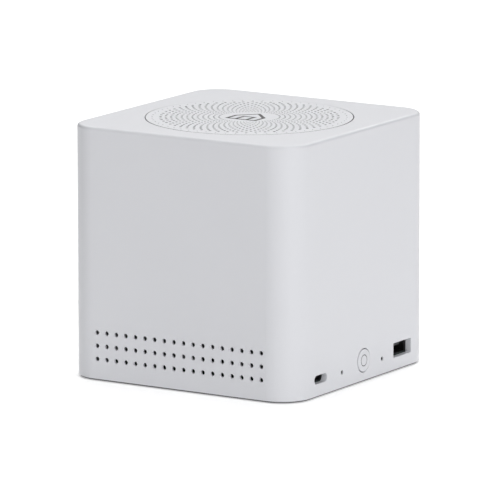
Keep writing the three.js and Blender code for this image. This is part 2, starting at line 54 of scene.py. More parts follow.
# ---------------------------------------------------------------------------------------------
# Camera: a long lens a little above the hub, turned towards the corner between the vents and the
# sockets, so that both faces and a thin slice of the top are in view.
# ---------------------------------------------------------------------------------------------
housing_low, housing_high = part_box("housing_shell")
hub_width = housing_high.x - housing_low.x
hub_height = housing_high.z
look_azimuth = math.radians(32.03)
look_elevation = math.radians(10.95)
look_roll = math.radians(-0.078)
camera_distance = 24.56 * hub_width

back = Vector((
    math.sin(look_azimuth) * math.cos(look_elevation),
    -math.cos(look_azimuth) * math.cos(look_elevation),
    math.sin(look_elevation),
))
level_right = Vector((math.cos(look_azimuth), math.sin(look_azimuth), 0))
level_up = back.cross(level_right)
right = level_right * math.cos(look_roll) + level_up * math.sin(look_roll)
up = back.cross(right)
hub_heart = Vector((0, 0, hub_height / 2 - 0.45 * mm))
aim = hub_heart + (right * 0.0015 - up * 0.023) * hub_width

camera = bpy.data.objects.new("camera", bpy.data.cameras.new("camera"))
bpy.context.scene.collection.objects.link(camera)
camera.data.sensor_width = 36
camera.data.lens = 468.9
camera.data.clip_end = 20
camera.matrix_world = Matrix.Translation(aim + back * camera_distance) @ Matrix(
    (right, up, back)
).transposed().to_4x4()
bpy.context.scene.camera = camera

# ---------------------------------------------------------------------------------------------
# Housing: one injection moulding of cool white plastic, four walls and a roof. The tool leaves a
# very fine grain, and the openings have edges broken by a hair. It is open below, where the base
# cover drops in, and it carries the screw posts and the stakes for the button's retainer.
# ---------------------------------------------------------------------------------------------
half = hub_width / 2
corner_radius = 13.2 * mm
top_round = 1.3 * mm
wall = 2.6 * mm
roof = 3.2 * mm
inside = half - wall
ceiling = hub_height - roof
skirt_z = housing_low.z
cover_low, cover_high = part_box("base_cover")[0].z, 2.2 * mm
clearance = 0.3 * mm
lip_thickness = 1.4 * mm
lip_top = cover_high + clearance

grille_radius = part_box("top_grille")[1].x
grille_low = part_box("top_grille")[0].z
grille_seat_radius = grille_radius + 0.3 * mm
grille_opening_radius = 41.2 * mm

vent_columns = 18
vent_heights = (9.3 * mm, 14.85 * mm, 20.4 * mm)
vent_pitch = 4.68 * mm
vent_radius = mm
vent_wall = 1.2 * mm
vent_pocket = (84 * mm, wall, 15.5 * mm)

usb_c_middle = sum(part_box("usb_c_shell"), Vector()) / 2
usb_a_middle = sum(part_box("usb_a_shell"), Vector()) / 2
usb_c_opening = (9.9 * mm, 3.6 * mm)
usb_a_opening = (14.2 * mm, 6.2 * mm)
button_middle = sum(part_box("power_button"), Vector()) / 2
button_hole_radius = 5.1 * mm
reset_middle = sum(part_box("reset_switch_plunger"), Vector()) / 2
sleeve_middle = sum(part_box("microphone_sleeve"), Vector()) / 2
pinhole_radius = 0.95 * mm

post_at = 44 * mm
post_radius = 3.2 * mm
post_top = 19.1 * mm
hanger_at = 42 * mm
baffle_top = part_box("speaker_baffle")[1].z
pilot_radius = 1.3 * mm
rib = 1.6 * mm
rib_reach = half - wall / 2
stake_offset = Vector((0, 7.3 * mm, 4.65 * mm))

towards_x = Matrix.Rotation(math.pi / 2, 4, "Y")
towards_y = Matrix.Rotation(-math.pi / 2, 4, "X")


def at(x, y, z):
    return Matrix.Translation((x, y, z))


def block(size, place, corner=0, segments=1):
    """A block centred on its place, with the four edges along its own Z rounded."""
    bm = bmesh.new()
    bmesh.ops.create_cube(bm, size=1)
    bmesh.ops.scale(bm, vec=size, verts=bm.verts)
    if corner:
        upright = [e for e in bm.edges if abs(e.verts[0].co.z - e.verts[1].co.z) > size[2] / 2]
        bmesh.ops.bevel(
            bm, geom=upright, offset=corner, offset_type="OFFSET", segments=segments,
            profile=0.5, affect="EDGES", material=-1,
        )
    bmesh.ops.transform(bm, matrix=place, verts=bm.verts)
    return bm


def bar(radius, low, high, place=Matrix(), sides=48):
    """A round bar along its place's Z, from low to high."""
    bm = bmesh.new()
    bmesh.ops.create_cone(
        bm, cap_ends=True, segments=sides, radius1=radius, radius2=radius, depth=high - low,
        matrix=place @ at(0, 0, (low + high) / 2),
    )
    return bm


def rounded(bm, edges, offset, segments=2):
    """The mesh with the given edges rounded."""
    bmesh.ops.bevel(
        bm, geom=edges, offset=offset, offset_type="OFFSET", segments=segments, profile=0.5,
        affect="EDGES", material=-1, clamp_overlap=True,
    )
    return bm


def softened(bm, offset, segments=2, sharper=40):
    """The mesh with every edge sharper than an angle rounded."""
    bm.normal_update()
    sharp = [e for e in bm.edges if e.is_manifold and e.calc_face_angle() > math.radians(sharper)]
    return rounded(bm, sharp, offset, segments)


def gathered(*parts):
    """One bmesh that holds several that don't touch."""
    whole = bmesh.new()
    for part in parts:
        mesh = bpy.data.meshes.new("part")
        part.to_mesh(mesh)
        part.free()
        whole.from_mesh(mesh)
        bpy.data.meshes.remove(mesh)
    return whole


def combined(bm, tool, operation):
    """The mesh with a tool cut out of it or joined to it. Both are used up."""
    pair = []
    for source in (bm, tool):
        blank = bpy.data.objects.new("blank", bpy.data.meshes.new("blank"))
        source.to_mesh(blank.data)
        source.free()
        bpy.context.scene.collection.objects.link(blank)
        pair.append(blank)
    modifier = pair[0].modifiers.new("boolean", "BOOLEAN")
    modifier.object = pair[1]
    modifier.operation = operation
    modifier.solver = "EXACT"
    bpy.context.view_layer.update()
    result = bmesh.new()
    result.from_object(pair[0], bpy.context.evaluated_depsgraph_get())
    for blank in pair:
        mesh = blank.data
        bpy.data.objects.remove(blank)
        bpy.data.meshes.remove(mesh)
    return result


def cut(bm, *tools):
    for tool in tools:
        bm = combined(bm, tool, "DIFFERENCE")
    return bm


def joined(bm, *tools):
    for tool in tools:
        bm = combined(bm, tool, "UNION")
    return bm


def piece(name, bm, material, body, slot, *nodes):
    """Makes a bmesh a finished piece that rides on a body and stands for the CAD nodes named."""
    mesh = bpy.data.meshes.new(name)
    bm.to_mesh(mesh)
    bm.free()
    mesh.shade_smooth()
    mesh.set_sharp_from_angle(angle=math.radians(32))
    mesh.materials.clear()
    mesh.materials.append(material)
    made = bpy.data.objects.new(name, mesh)
    bpy.context.scene.collection.objects.link(made)
    made.modifiers.new("even shading", "WEIGHTED_NORMAL").keep_sharp = True
    if body:
        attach(made, body)
    if nodes:
        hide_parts(*nodes)
    return made


class Wire:
    """A socket in a material's node tree. Arithmetic on wires adds the Math nodes for it."""

    def __init__(self, tree, socket):
        self.tree = tree
        self.socket = socket

    def node(self, kind, inputs, output=0, **settings):
        """Adds a node with its settings, then sets or links its sockets, and returns an output."""
        made = self.tree.nodes.new("ShaderNode" + kind)
        for name, value in settings.items():
            setattr(made, name, value)
        for name, value in inputs.items():
            if isinstance(value, Wire):
                self.tree.links.new(value.socket, made.inputs[name])
            else:
                made.inputs[name].default_value = value
        return Wire(self.tree, made.outputs[output])

    def maths(self, operation, first, second=0.0):
        return self.node("Math", {0: first, 1: second}, operation=operation)

    def __add__(self, other):
        return self.maths("ADD", self, other)

    def __sub__(self, other):
        return self.maths("SUBTRACT", self, other)

    def __rsub__(self, other):
        return self.maths("SUBTRACT", other, self)

    def __mul__(self, other):
        return self.maths("MULTIPLY", self, other)

    def __truediv__(self, other):
        return self.maths("DIVIDE", self, other)

    def __gt__(self, other):
        return self.maths("GREATER_THAN", self, other)

    def __lt__(self, other):
        return self.maths("LESS_THAN", self, other)

    __radd__ = __add__
    __rmul__ = __mul__


def noise(place, scale, detail=2.0):
    return place.node("TexNoise", {"Vector": place, "Scale": scale, "Detail": detail})


def shade(share, dark, light):
    """A colour between two, by a wire from 0 to 1."""
    return share.node(
        "Mix", {0: share, 6: (*dark, 1), 7: (*light, 1)}, output=2, data_type="RGBA"
    )


def bumps(height, distance):
    return height.node("Bump", {"Height": height, "Distance": distance})


def finish(name, looks, **fixed):
    """A material. Its even values are fixed, and its varying ones come from looks(place)."""
    made = bpy.data.materials.new(name)
    made.use_nodes = True
    tree = made.node_tree
    shader = tree.nodes["Principled BSDF"]
    for socket, value in fixed.items():
        shader.inputs[socket.replace("_", " ")].default_value = value
    place = Wire(tree, tree.nodes.new("ShaderNodeTexCoord").outputs["Object"])
    for socket, wire in looks(place).items():
        tree.links.new(wire.socket, shader.inputs[socket])
    return made


def moulded(dark, light, rough, grain_scale, grain_depth, cloud_scale=22):
    """The look of a moulded part: clouds of two near shades, a tool grain and its uneven gloss."""
    def looks(place):
        return {
            "Base Color": shade(noise(place, cloud_scale, 3), dark, light),
            "Roughness": rough - 0.05 + 0.1 * noise(place, grain_scale / 5),
            "Normal": bumps(noise(place, grain_scale, 1), grain_depth),
        }
    return looks


white_shades = (0.70, 0.706, 0.737), (0.718, 0.724, 0.755)
white_plastic = finish(
    "white plastic", moulded(*white_shades, 0.38, 2600, 0.006 * mm), IOR=1.49
)

shell = block(
    (hub_width, hub_width, hub_height - skirt_z), at(0, 0, (hub_height + skirt_z) / 2),
    corner_radius, 28,
)
rim_edges = [e for e in shell.edges if all(v.co.z > hub_height - 0.01 * mm for v in e.verts)]
shell = rounded(shell, rim_edges, top_round, 6)
hollows = (
    (inside, ceiling, corner_radius - wall),
    (half - lip_thickness, lip_top, corner_radius - lip_thickness),
)
for reach, top, corner in hollows:
    hollow = block((2 * reach, 2 * reach, top + mm), at(0, 0, (top - mm) / 2), corner, 12)
    shell = cut(shell, hollow)
shell = cut(
    shell,
    block(vent_pocket, at(0, -half + vent_wall + wall / 2, vent_heights[1])),
    bar(grille_seat_radius, grille_low - clearance, hub_height + mm, sides=240),
    bar(grille_opening_radius, ceiling - mm, hub_height, sides=120),
)
for sx, sy in ((-1, -1), (1, -1), (1, 1), (-1, 1)):
    post = at(sx * post_at, sy * post_at, 0)
    hanger = at(sx * hanger_at, sy * hanger_at, 0)
    middle = (post_at + rib_reach) / 2
    height = (lip_top + post_top) / 2
    length, tall = rib_reach - post_at, post_top - lip_top
    shell = joined(
        shell,
        bar(post_radius, lip_top, post_top, post, 32),
        block((length, rib, tall), at(sx * middle, sy * post_at, height)),
        block((rib, length, tall), at(sx * post_at, sy * middle, height)),
        bar(post_radius, baffle_top + clearance, ceiling + 0.2 * mm, hanger, 32),
    )
    shell = cut(
        shell,
        bar(pilot_radius, 0, post_top - 5 * mm, post, 24),
        bar(pilot_radius, baffle_top, ceiling + mm, hanger, 24),
    )
for side in (-1, 1):
    stake = at(0, button_middle.y + side * stake_offset.y, button_middle.z + stake_offset.z)
    shell = joined(
        shell,
        bar(1.8 * mm, 50.5 * mm, inside + 0.5 * mm, stake @ towards_x, 24),
        bar(0.9 * mm, 48.9 * mm, 50.6 * mm, stake @ towards_x, 24),
    )
vents = [
    bar(vent_radius, -wall, 2 * wall, at(column * vent_pitch, -half, height) @ towards_y, 20)
    for height in vent_heights
    for column in [step - (vent_columns - 1) / 2 for step in range(vent_columns)]
]


def through_side(middle):
    """A place on the socket side. Its Z runs outwards and its X runs down."""
    return at(half, middle.y, middle.z) @ towards_x


openings = (
    block(
        (usb_c_opening[1], usb_c_opening[0], 6.2 * mm), through_side(usb_c_middle),
        usb_c_opening[1] / 2 - 0.001 * mm, 12,
    ),
    block(
        (usb_a_opening[1], usb_a_opening[0], 6.2 * mm), through_side(usb_a_middle), 0.25 * mm, 3
    ),
    bar(button_hole_radius, -3.1 * mm, 2 * mm, through_side(button_middle), 96),
    bar(pinhole_radius, -3.1 * mm, 2 * mm, through_side(reset_middle), 24),
    bar(pinhole_radius, -3.1 * mm, 2 * mm, through_side(sleeve_middle), 24),
)
shell = cut(shell, gathered(*vents), gathered(*openings))


def mouths(bm, normal, level):
    """The edges where holes and walls meet a flat outer face."""
    bm.normal_update()
    found = []
    for edge in bm.edges:
        if edge.is_manifold and all(abs(v.co.dot(normal) - level) < 1e-6 for v in edge.verts):
            facing = sorted(face.normal.dot(normal) for face in edge.link_faces)
            if facing[1] > 0.999 and facing[0] < 0.2:
                found.append(edge)
    return found


for outwards, level in (((0, -1, 0), half), ((1, 0, 0), half), ((0, 0, -1), -skirt_z)):
    shell = rounded(shell, mouths(shell, Vector(outwards), level), 0.08 * mm)
shell = rounded(shell, mouths(shell, Vector((0, 0, 1)), hub_height), 0.15 * mm)
piece("housing_moulding", shell, white_plastic, "housing", "housing_plastic", "housing_shell")

# ---------------------------------------------------------------------------------------------
# Base cover: a flat moulding of grey plastic that drops into the housing's lip, with a thin rim
# that closes the seam under the walls. It has a pocket for each foot, a counterbored hole for each
# screw, standoffs for the board and low side ribs. Its grey is partly the plastic's own and partly
# painted shade, darkened so the seam under the walls reads as a shadowed line.
# ---------------------------------------------------------------------------------------------
cover_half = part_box("base_cover")[1].x
cover_thick = cover_high - cover_low
cover_rib_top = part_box("base_cover")[1].z
cover_rib_out = inside - clearance
corner_names = ("front_left", "front_right", "rear_right", "rear_left")
board_screw_names = [f"board_screw_{number}" for number in range(1, 5)]


def middle_of(node):
    return sum(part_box(node), Vector()) / 2


# These greys are darker than the plastic's own: partly its colour, partly painted shade along the seam.
base_plastic = finish(
    "grey base plastic darkened as painted shade",
    moulded((0.115, 0.117, 0.123), (0.14, 0.142, 0.15), 0.55, 1800, 0.015 * mm),
    IOR=1.49,
)

cover = block(
    (2 * cover_half, 2 * cover_half, cover_thick), at(0, 0, cover_low + cover_thick / 2),
    corner_radius - (half - cover_half), 16,
)
cover = softened(cover, 0.25 * mm)
rim_inset = 0.6 * mm
rim_low, rim_high = cover_low + 0.05 * mm, skirt_z - 0.1 * mm
rim = block(
    (hub_width - 2 * rim_inset, hub_width - 2 * rim_inset, rim_high - rim_low),
    at(0, 0, (rim_low + rim_high) / 2), corner_radius - rim_inset, 16,
)
cover = joined(cover, softened(rim, 0.08 * mm))
rib_height = cover_rib_top - cover_high
for turn in range(4):
    quarter = Matrix.Rotation(turn * math.pi / 2, 4, "Z")
    low_rib = at(0, cover_rib_out - 0.55 * mm, cover_high + rib_height / 2 - 0.1 * mm)
    size = (64 * mm, 1.1 * mm, rib_height + 0.2 * mm)
    cover = joined(cover, block(size, quarter @ low_rib))
notch = at(46.2 * mm, button_middle.y, cover_high + 10 * mm)
cover = cut(cover, block((12.4 * mm, 18 * mm, 20 * mm), notch))
for name in corner_names:
    foot = middle_of("foot_" + name)
    screw = middle_of("base_screw_" + name)
    cover = cut(
        cover,
        bar(6.8 * mm, -mm, cover_low + 0.9 * mm, at(foot.x, foot.y, 0), 64),
        bar(1.4 * mm, -mm, 5 * mm, at(screw.x, screw.y, 0), 32),
        bar(2.8 * mm, -mm, 1.65 * mm, at(screw.x, screw.y, 0), 40),
    )
for name in board_screw_names:
    screw = middle_of(name)
    standoff = at(screw.x, screw.y, 0)
    cover = joined(cover, bar(2.8 * mm, cover_high - 0.2 * mm, cover_rib_top, standoff, 32))
    cover = cut(cover, bar(1.1 * mm, 1.3 * mm, 6 * mm, standoff, 24))
cover = rounded(cover, mouths(cover, Vector((0, 0, -1)), -cover_low), 0.12 * mm)
piece("base_plate", cover, base_plastic, "housing", "base_plastic", "base_cover")

# ---------------------------------------------------------------------------------------------
# Feet: four soft rubber discs, moulded with a flat sole and a rounded edge, and stuck in the
# cover's pockets.
# ---------------------------------------------------------------------------------------------
foot_rubber = finish(
    "grey foot rubber", moulded((0.035, 0.035, 0.037), (0.05, 0.05, 0.053), 0.8, 900, 0.02 * mm)
)


def turned(outline, place=Matrix(), sides=48):
    """A body turned about its place's Z. The outline's points are (radius, height)."""
    bm = bmesh.new()
    points = [bm.verts.new((radius, 0, height)) for radius, height in outline]
    edges = [bm.edges.new(pair) for pair in zip(points, points[1:])]
    if outline[0][0] > 0:
        edges.append(bm.edges.new((points[-1], points[0])))
    bmesh.ops.spin(
        bm, geom=points + edges, cent=(0, 0, 0), axis=(0, 0, 1), angle=2 * math.pi, steps=sides,
        use_merge=True,
    )
    bmesh.ops.remove_doubles(bm, verts=bm.verts, dist=1e-7)
    bmesh.ops.recalc_face_normals(bm, faces=bm.faces)
    bmesh.ops.transform(bm, matrix=place, verts=bm.verts)
    return bm


for name in corner_names:
    low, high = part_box("foot_" + name)
    radius = (high.x - low.x) / 2
    sole = turned(
        [(0, 0), (radius * 0.93, 0), (radius, 0.35 * mm), (radius, high.z), (0, high.z)],
        at((low.x + high.x) / 2, (low.y + high.y) / 2, 0), 64,
    )
    sole = softened(sole, 0.12 * mm, 3, 20)
    piece("rubber_foot_" + name, sole, foot_rubber, "housing", "foot_rubber", "foot_" + name)

# ---------------------------------------------------------------------------------------------
# Cover screws: four plated steel pan-head screws with a cross recess, run up through the cover
# into the housing's corner posts.
# ---------------------------------------------------------------------------------------------


def brushed(dark, light, rough, scale):
    """The look of bare or plated metal: faint drawn streaks and stains, and uneven gloss."""
    def looks(place):
        streaks = place.node("Mapping", {"Vector": place, "Scale": (scale, scale, scale / 12)})
        return {
            "Base Color": shade(noise(place, scale / 3, 3), dark, light),
            "Roughness": rough - 0.06 + 0.12 * noise(streaks, 1, 3),
            "Normal": bumps(noise(streaks, 1, 2), 0.004 * mm),
        }
    return looks


screw_steel = finish(
    "zinc-plated steel", brushed((0.5, 0.51, 0.53), (0.66, 0.67, 0.69), 0.32, 900), Metallic=1
)


def threaded_screw(low, high, head_radius, shank_radius, head_height=1.1 * mm, head_down=True):
    """A pan-head screw with a rolled thread and a cross recess, its head below or above."""
    length = high.z - low.z
    pitch = 0.5 * mm
    outline = [(0, 0), (head_radius * 0.8, 0), (head_radius, head_height * 0.35)]
    outline += [(head_radius, head_height), (shank_radius, head_height)]
    for number in range(int((length - head_height - 0.9 * mm) / pitch)):
        start = head_height + 0.2 * mm + number * pitch
        outline += [(shank_radius * 0.78, start), (shank_radius, start + pitch / 2)]
    outline += [(shank_radius * 0.78, length - 0.5 * mm), (0, length)]
    bm = turned(outline, sides=20)
    for turn in (0, math.pi / 2):
        size = (head_radius * 1.15, head_radius * 0.19, head_height * 1.2)
        bm = cut(bm, block(size, Matrix.Rotation(turn, 4, "Z")))
    middle = (low + high) / 2
    if head_down:
        place = at(middle.x, middle.y, low.z)
    else:
        place = at(middle.x, middle.y, high.z) @ Matrix.Rotation(math.pi, 4, "X")
    bmesh.ops.transform(bm, matrix=place, verts=bm.verts)
    return bm


for name in corner_names:
    node = "base_screw_" + name
    bm = threaded_screw(*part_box(node), 2.4 * mm, mm)
    piece("cover_screw_" + name, bm, screw_steel, "housing", "screw_steel", node)

# ---------------------------------------------------------------------------------------------
# Grille: a thin white disc with twelve rings of sixty holes, alternate rings set half a hole on, and
# a ring of small dots near its rim. It snaps into its seat, flush with the roof. Below its outer face
# it is coloured black, as painted shade on the walls of its holes and of its emblem pocket.
# ---------------------------------------------------------------------------------------------
hole_count = 60
ring_pitch = 2.2 * mm
grille_thick = hub_height - grille_low
ring_radii = [36.8 * mm - step * ring_pitch for step in range(12)]
dot_ring_radius = 40.3 * mm
half_step = math.pi / hole_count
emblem_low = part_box("emblem")[0].z
emblem_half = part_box("emblem")[1].x
emblem_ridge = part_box("emblem")[1].y
emblem_line = 1.3 * mm
emblem_door = 3.2 * mm

disc = bmesh.new()
cells = [(radius, radius - ring_pitch / 2, radius + ring_pitch / 2) for radius in ring_radii]
cells.append((dot_ring_radius, ring_radii[0] + ring_pitch / 2, grille_radius))
for number, (radius, inner, outer) in enumerate(cells):
    turn = half_step * (number % 2)
    hole_radius = 0.33 * mm
    if radius != dot_ring_radius:
        hole_radius = 0.37 * mm + 0.0105 * (radius - 13 * mm)
    corners = [
        disc.verts.new((reach * math.cos(turn + angle), reach * math.sin(turn + angle), grille_low))
        for reach, steps in ((inner, (-1, 0, 1)), (outer, (1, 0, -1)))
        for angle in [share * half_step for share in steps]
    ]
    cell_edges = [disc.edges.new(pair) for pair in zip(corners, corners[1:] + corners[:1])]
    hole = bmesh.ops.create_circle(
        disc, segments=12, radius=hole_radius,
        matrix=at(radius * math.cos(turn), radius * math.sin(turn), grille_low),
    )
    cell_edges += {edge for vert in hole["verts"] for edge in vert.link_edges}
    bmesh.ops.triangle_fill(disc, edges=cell_edges, use_beauty=True)
bmesh.ops.spin(
    disc, geom=disc.verts[:] + disc.edges[:] + disc.faces[:], cent=(0, 0, 0), axis=(0, 0, 1),
    angle=2 * math.pi - 2 * half_step, steps=hole_count - 1, use_duplicate=True,
)
bmesh.ops.remove_doubles(disc, verts=disc.verts, dist=0.01 * mm)
blank_radius = ring_radii[-1] - ring_pitch / 3
blank_edges = [
    e for e in disc.edges
    if e.is_boundary and all(v.co.xy.length < blank_radius for v in e.verts)
]
bmesh.ops.edgeloop_fill(disc, edges=blank_edges)
bmesh.ops.recalc_face_normals(disc, faces=disc.faces)
if disc.faces[0].normal.z > 0:
    bmesh.ops.reverse_faces(disc, faces=disc.faces)
raised = bmesh.ops.extrude_face_region(disc, geom=disc.faces[:], use_keep_orig=True)["geom"]
top_points = [item for item in raised if isinstance(item, bmesh.types.BMVert)]
bmesh.ops.translate(disc, vec=(0, 0, grille_thick), verts=top_points)
bmesh.ops.recalc_face_normals(disc, faces=disc.faces)
disc_rim = [
    e for e in disc.edges
    if all(v.co.z > hub_height - 0.01 * mm and v.co.xy.length > 42.9 * mm for v in e.verts)
]
disc = rounded(disc, disc_rim, 0.15 * mm)


def house_lines(low, high, grow):
    """A plain house drawn in line, with its doorway: a five-sided frame with a door frame in it."""
    bm = bmesh.new()
    rims = []
    for inset in (-grow, emblem_line + grow):
        wide = emblem_half - inset
        eave = 0.8 * mm - inset / 2
        outline = ((-wide, -wide), (wide, -wide), (wide, eave),
                   (0, emblem_ridge - 1.25 * inset), (-wide, eave))
        loop = [bm.verts.new((x, y, low)) for x, y in outline]
        rims += [bm.edges.new(pair) for pair in zip(loop, loop[1:] + loop[:1])]
    bmesh.ops.bridge_loops(bm, edges=rims)
    raised = bmesh.ops.extrude_face_region(bm, geom=bm.faces[:], use_keep_orig=True)["geom"]
    points = [item for item in raised if isinstance(item, bmesh.types.BMVert)]
    bmesh.ops.translate(bm, vec=(0, 0, high - low), verts=points)
    bmesh.ops.recalc_face_normals(bm, faces=bm.faces)
    sill = emblem_line - emblem_half + grow
    lintel = 0.5 * mm + grow
    beam = emblem_line + 2 * grow
    door = 2 * (emblem_door + grow)
    middle = (low + high) / 2
    tall = high - low
    frame_place = at(0, (sill + lintel) / 2 - 0.25 * mm, middle)
    bm = joined(bm, block((door, lintel - sill + 0.5 * mm, tall), frame_place))
    gap_place = at(0, (sill + lintel - beam) / 2, middle)
    return cut(bm, block((door - 2 * beam, lintel - beam - sill, tall + mm), gap_place))


disc = cut(disc, house_lines(emblem_low, hub_height + mm, 0.1 * mm))


def white_face_and_hole_shade(place):
    """White on its outer face only, and black below it: painted shade on the walls of the holes and the
    emblem pocket.
    """
    # Below a hair under the outer face the colour is black, as painted shade in the holes.
    painted = place.node("SeparateXYZ", {"Vector": place}, output=2) > hub_height - 0.02 * mm
    black = shade(noise(place, 90, 3), (0.012,) * 3, (0.02,) * 3)
    white = shade(noise(place, 22, 3), *white_shades)
    return {
        "Base Color": painted.node("Mix", {0: painted, 6: black, 7: white}, output=2, data_type="RGBA"),
        "Roughness": 0.36 + 0.1 * noise(place, 520),
        "Normal": bumps(noise(place, 2600, 1), 0.006 * mm),
    }


grille_plastic = finish("white grille with painted hole shade", white_face_and_hole_shade, IOR=1.49)
piece("grille_disc", disc, grille_plastic, "housing", "grille_plastic", "top_grille")

# ---------------------------------------------------------------------------------------------
# Emblem: a plain house in line, cut from black plastic sheet and stuck in its shallow pocket.
# ---------------------------------------------------------------------------------------------
emblem_black = finish(
    "black emblem plastic",
    moulded((0.006, 0.006, 0.007), (0.012, 0.012, 0.013), 0.4, 3000, 0.003 * mm),
    Specular_IOR_Level=0.25,
)
house = house_lines(emblem_low, hub_height, 0)
piece("house_emblem", house, emblem_black, "housing", "emblem_black", "emblem")

# ---------------------------------------------------------------------------------------------
# Dust cloth: a disc of black woven acoustic cloth, stretched flat and glued under the grille's
# holes.
# ---------------------------------------------------------------------------------------------
cloth_low, cloth_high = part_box("dust_cloth")
thread_pitch = 0.55 * mm


def woven(dark, light):
    """A plain weave: threads both ways, each a rounded ridge that goes over and under."""
    def looks(place):
        waves = [
            place.node(
                "TexWave",
                {"Vector": place, "Scale": math.pi / (10 * thread_pitch), "Distortion": 0.3,
                 "Detail": 1},
                bands_direction=way,
            )
            for way in ("X", "Y")
        ]
        height = waves[0] * waves[1]
        return {
            "Base Color": shade(height, dark, light),
            "Roughness": 0.85 + 0.1 * noise(place, 3000),
            "Normal": bumps(height, 0.08 * mm),
        }
    return looks


cloth_black = finish("black acoustic cloth", woven((0.004,) * 3, (0.018, 0.018, 0.02)))
cloth_thick = 0.25 * mm
cloth_outline = [(0, cloth_low.z), (cloth_high.x, cloth_low.z)]
cloth_outline += [(cloth_high.x, cloth_low.z + cloth_thick), (0, cloth_low.z + cloth_thick)]
cloth_place = at(0, 0, cloth_high.z - cloth_thick - cloth_low.z)
cloth = piece(
    "acoustic_cloth", turned(cloth_outline, cloth_place, 96), cloth_black, "housing",
    "dust_cloth", "dust_cloth",
)

# ---------------------------------------------------------------------------------------------
# Power socket: a USB-C receptacle on the board, a drawn shell of dark nickel round a black tongue
# with a row of gilt contacts on each face.
# ---------------------------------------------------------------------------------------------
socket_steel = finish(
    "dark nickel plate", brushed((0.10, 0.10, 0.105), (0.17, 0.17, 0.175), 0.35, 700), Metallic=1
)
socket_black = finish(
    "black socket plastic",
    moulded((0.004, 0.004, 0.0045), (0.009, 0.009, 0.0095), 0.5, 2400, 0.006 * mm),
    Specular_IOR_Level=0.3,
)
contact_gold = finish(
    "gilt contacts", brushed((0.62, 0.42, 0.16), (0.78, 0.56, 0.24), 0.3, 1500), Metallic=1
)


def socket_tube(node, corner, thickness):
    """A folded shell round a socket, open at both ends, with its edges broken."""
    low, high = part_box(node)
    middle = (low + high) / 2
    size = high - low
    place = at(*middle) @ towards_x
    tube = block((size.z, size.y, size.x), place, corner, 8)
    bore = (size.z - 2 * thickness, size.y - 2 * thickness, size.x + mm)
    return softened(cut(tube, block(bore, place, corner - thickness, 8)), 0.06 * mm)


def contacts(middle, count, pitch, size):
    """A row of flat contacts that lie on a tongue, spread evenly about its middle."""
    first = middle.y - pitch * (count - 1) / 2
    return gathered(*(
        softened(block(size, at(middle.x, first + pitch * number, middle.z)), 0.03 * mm, 1)
        for number in range(count)
    ))


piece(
    "usb_c_can", socket_tube("usb_c_shell", 1.6 * mm, 0.3 * mm), socket_steel, "housing",
    "socket_steel", "usb_c_shell",
)
tongue_low, tongue_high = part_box("usb_c_tongue")
tongue_middle = (tongue_low + tongue_high) / 2
tongue_root = 46.8 * mm
tongue = joined(
    block(
        (tongue_root - tongue_low.x, 6.4 * mm, 2 * mm),
        at((tongue_root + tongue_low.x) / 2, tongue_middle.y, tongue_middle.z),
    ),
    block(
        (tongue_high.x - tongue_root + 0.1 * mm, 6.6 * mm, 0.66 * mm),
        at((tongue_high.x + tongue_root) / 2 - 0.05 * mm, tongue_middle.y, tongue_middle.z),
    ),
)
piece(
    "usb_c_core", softened(tongue, 0.1 * mm), socket_black, "housing", "socket_black",
    "usb_c_tongue",
)
for name, side in (("upper", 1), ("lower", -1)):
    row = contacts(
        Vector((49.2 * mm, tongue_middle.y, tongue_middle.z + side * 0.34 * mm)),
        12, 0.5 * mm, (3.4 * mm, 0.26 * mm, 0.06 * mm),
    )
    piece("usb_c_contacts_" + name, row, contact_gold, "housing", "socket_black")

# ---------------------------------------------------------------------------------------------
# Accessory socket: a USB-A receptacle on the board, a folded shell of dark nickel round a
# charcoal tongue in its upper half, with four long gilt contacts under the tongue.
# ---------------------------------------------------------------------------------------------
piece(
    "usb_a_can", socket_tube("usb_a_shell", 0.6 * mm, 0.35 * mm), socket_steel, "housing",
    "socket_steel", "usb_a_shell",
)
grey_tongue = finish(
    "charcoal tongue plastic",
    moulded((0.07, 0.07, 0.074), (0.09, 0.09, 0.095), 0.45, 2400, 0.006 * mm),
)
core_low, core_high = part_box("usb_a_tongue")
core_middle = (core_low + core_high) / 2
core_root = 41.6 * mm
core_under = usb_a_middle.z + 0.1 * mm
core_over = usb_a_middle.z + 1.9 * mm
core = joined(
    block((core_root - core_low.x, core_high.y - core_low.y, core_high.z - core_low.z),
          at((core_root + core_low.x) / 2, core_middle.y, core_middle.z)),
    block((core_high.x - core_root + 0.1 * mm, 11 * mm, core_over - core_under),
          at((core_high.x + core_root) / 2 - 0.05 * mm, core_middle.y, (core_under + core_over) / 2)),
)
piece("usb_a_core", softened(core, 0.15 * mm), grey_tongue, "housing", "socket_black", "usb_a_tongue")
row = contacts(
    Vector((46 * mm, core_middle.y, core_under - 0.02 * mm)), 4, 2.3 * mm,
    (7.6 * mm, 1.1 * mm, 0.12 * mm),
)
piece("usb_a_contacts", row, contact_gold, "housing", "socket_black")

# ---------------------------------------------------------------------------------------------
# Power button: a moulded cap of the housing's white that stands a hair proud of the wall, with a
# flange behind it and a smoked light guide pressed in the ring groove of its face.
# ---------------------------------------------------------------------------------------------
cap_low, cap_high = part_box("power_button")
ring_low, ring_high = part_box("status_light_ring")
button_axis = at(0, button_middle.y, button_middle.z) @ towards_x
cap_face = cap_high.x
cap_radius = 4.7 * mm
stem_radius = 1.8 * mm
flange_radius = 6 * mm
flange_back = 51 * mm
flange_face = inside - clearance
groove_inner, groove_outer = 2.1 * mm, 2.5 * mm
groove_floor = cap_face - 0.6 * mm

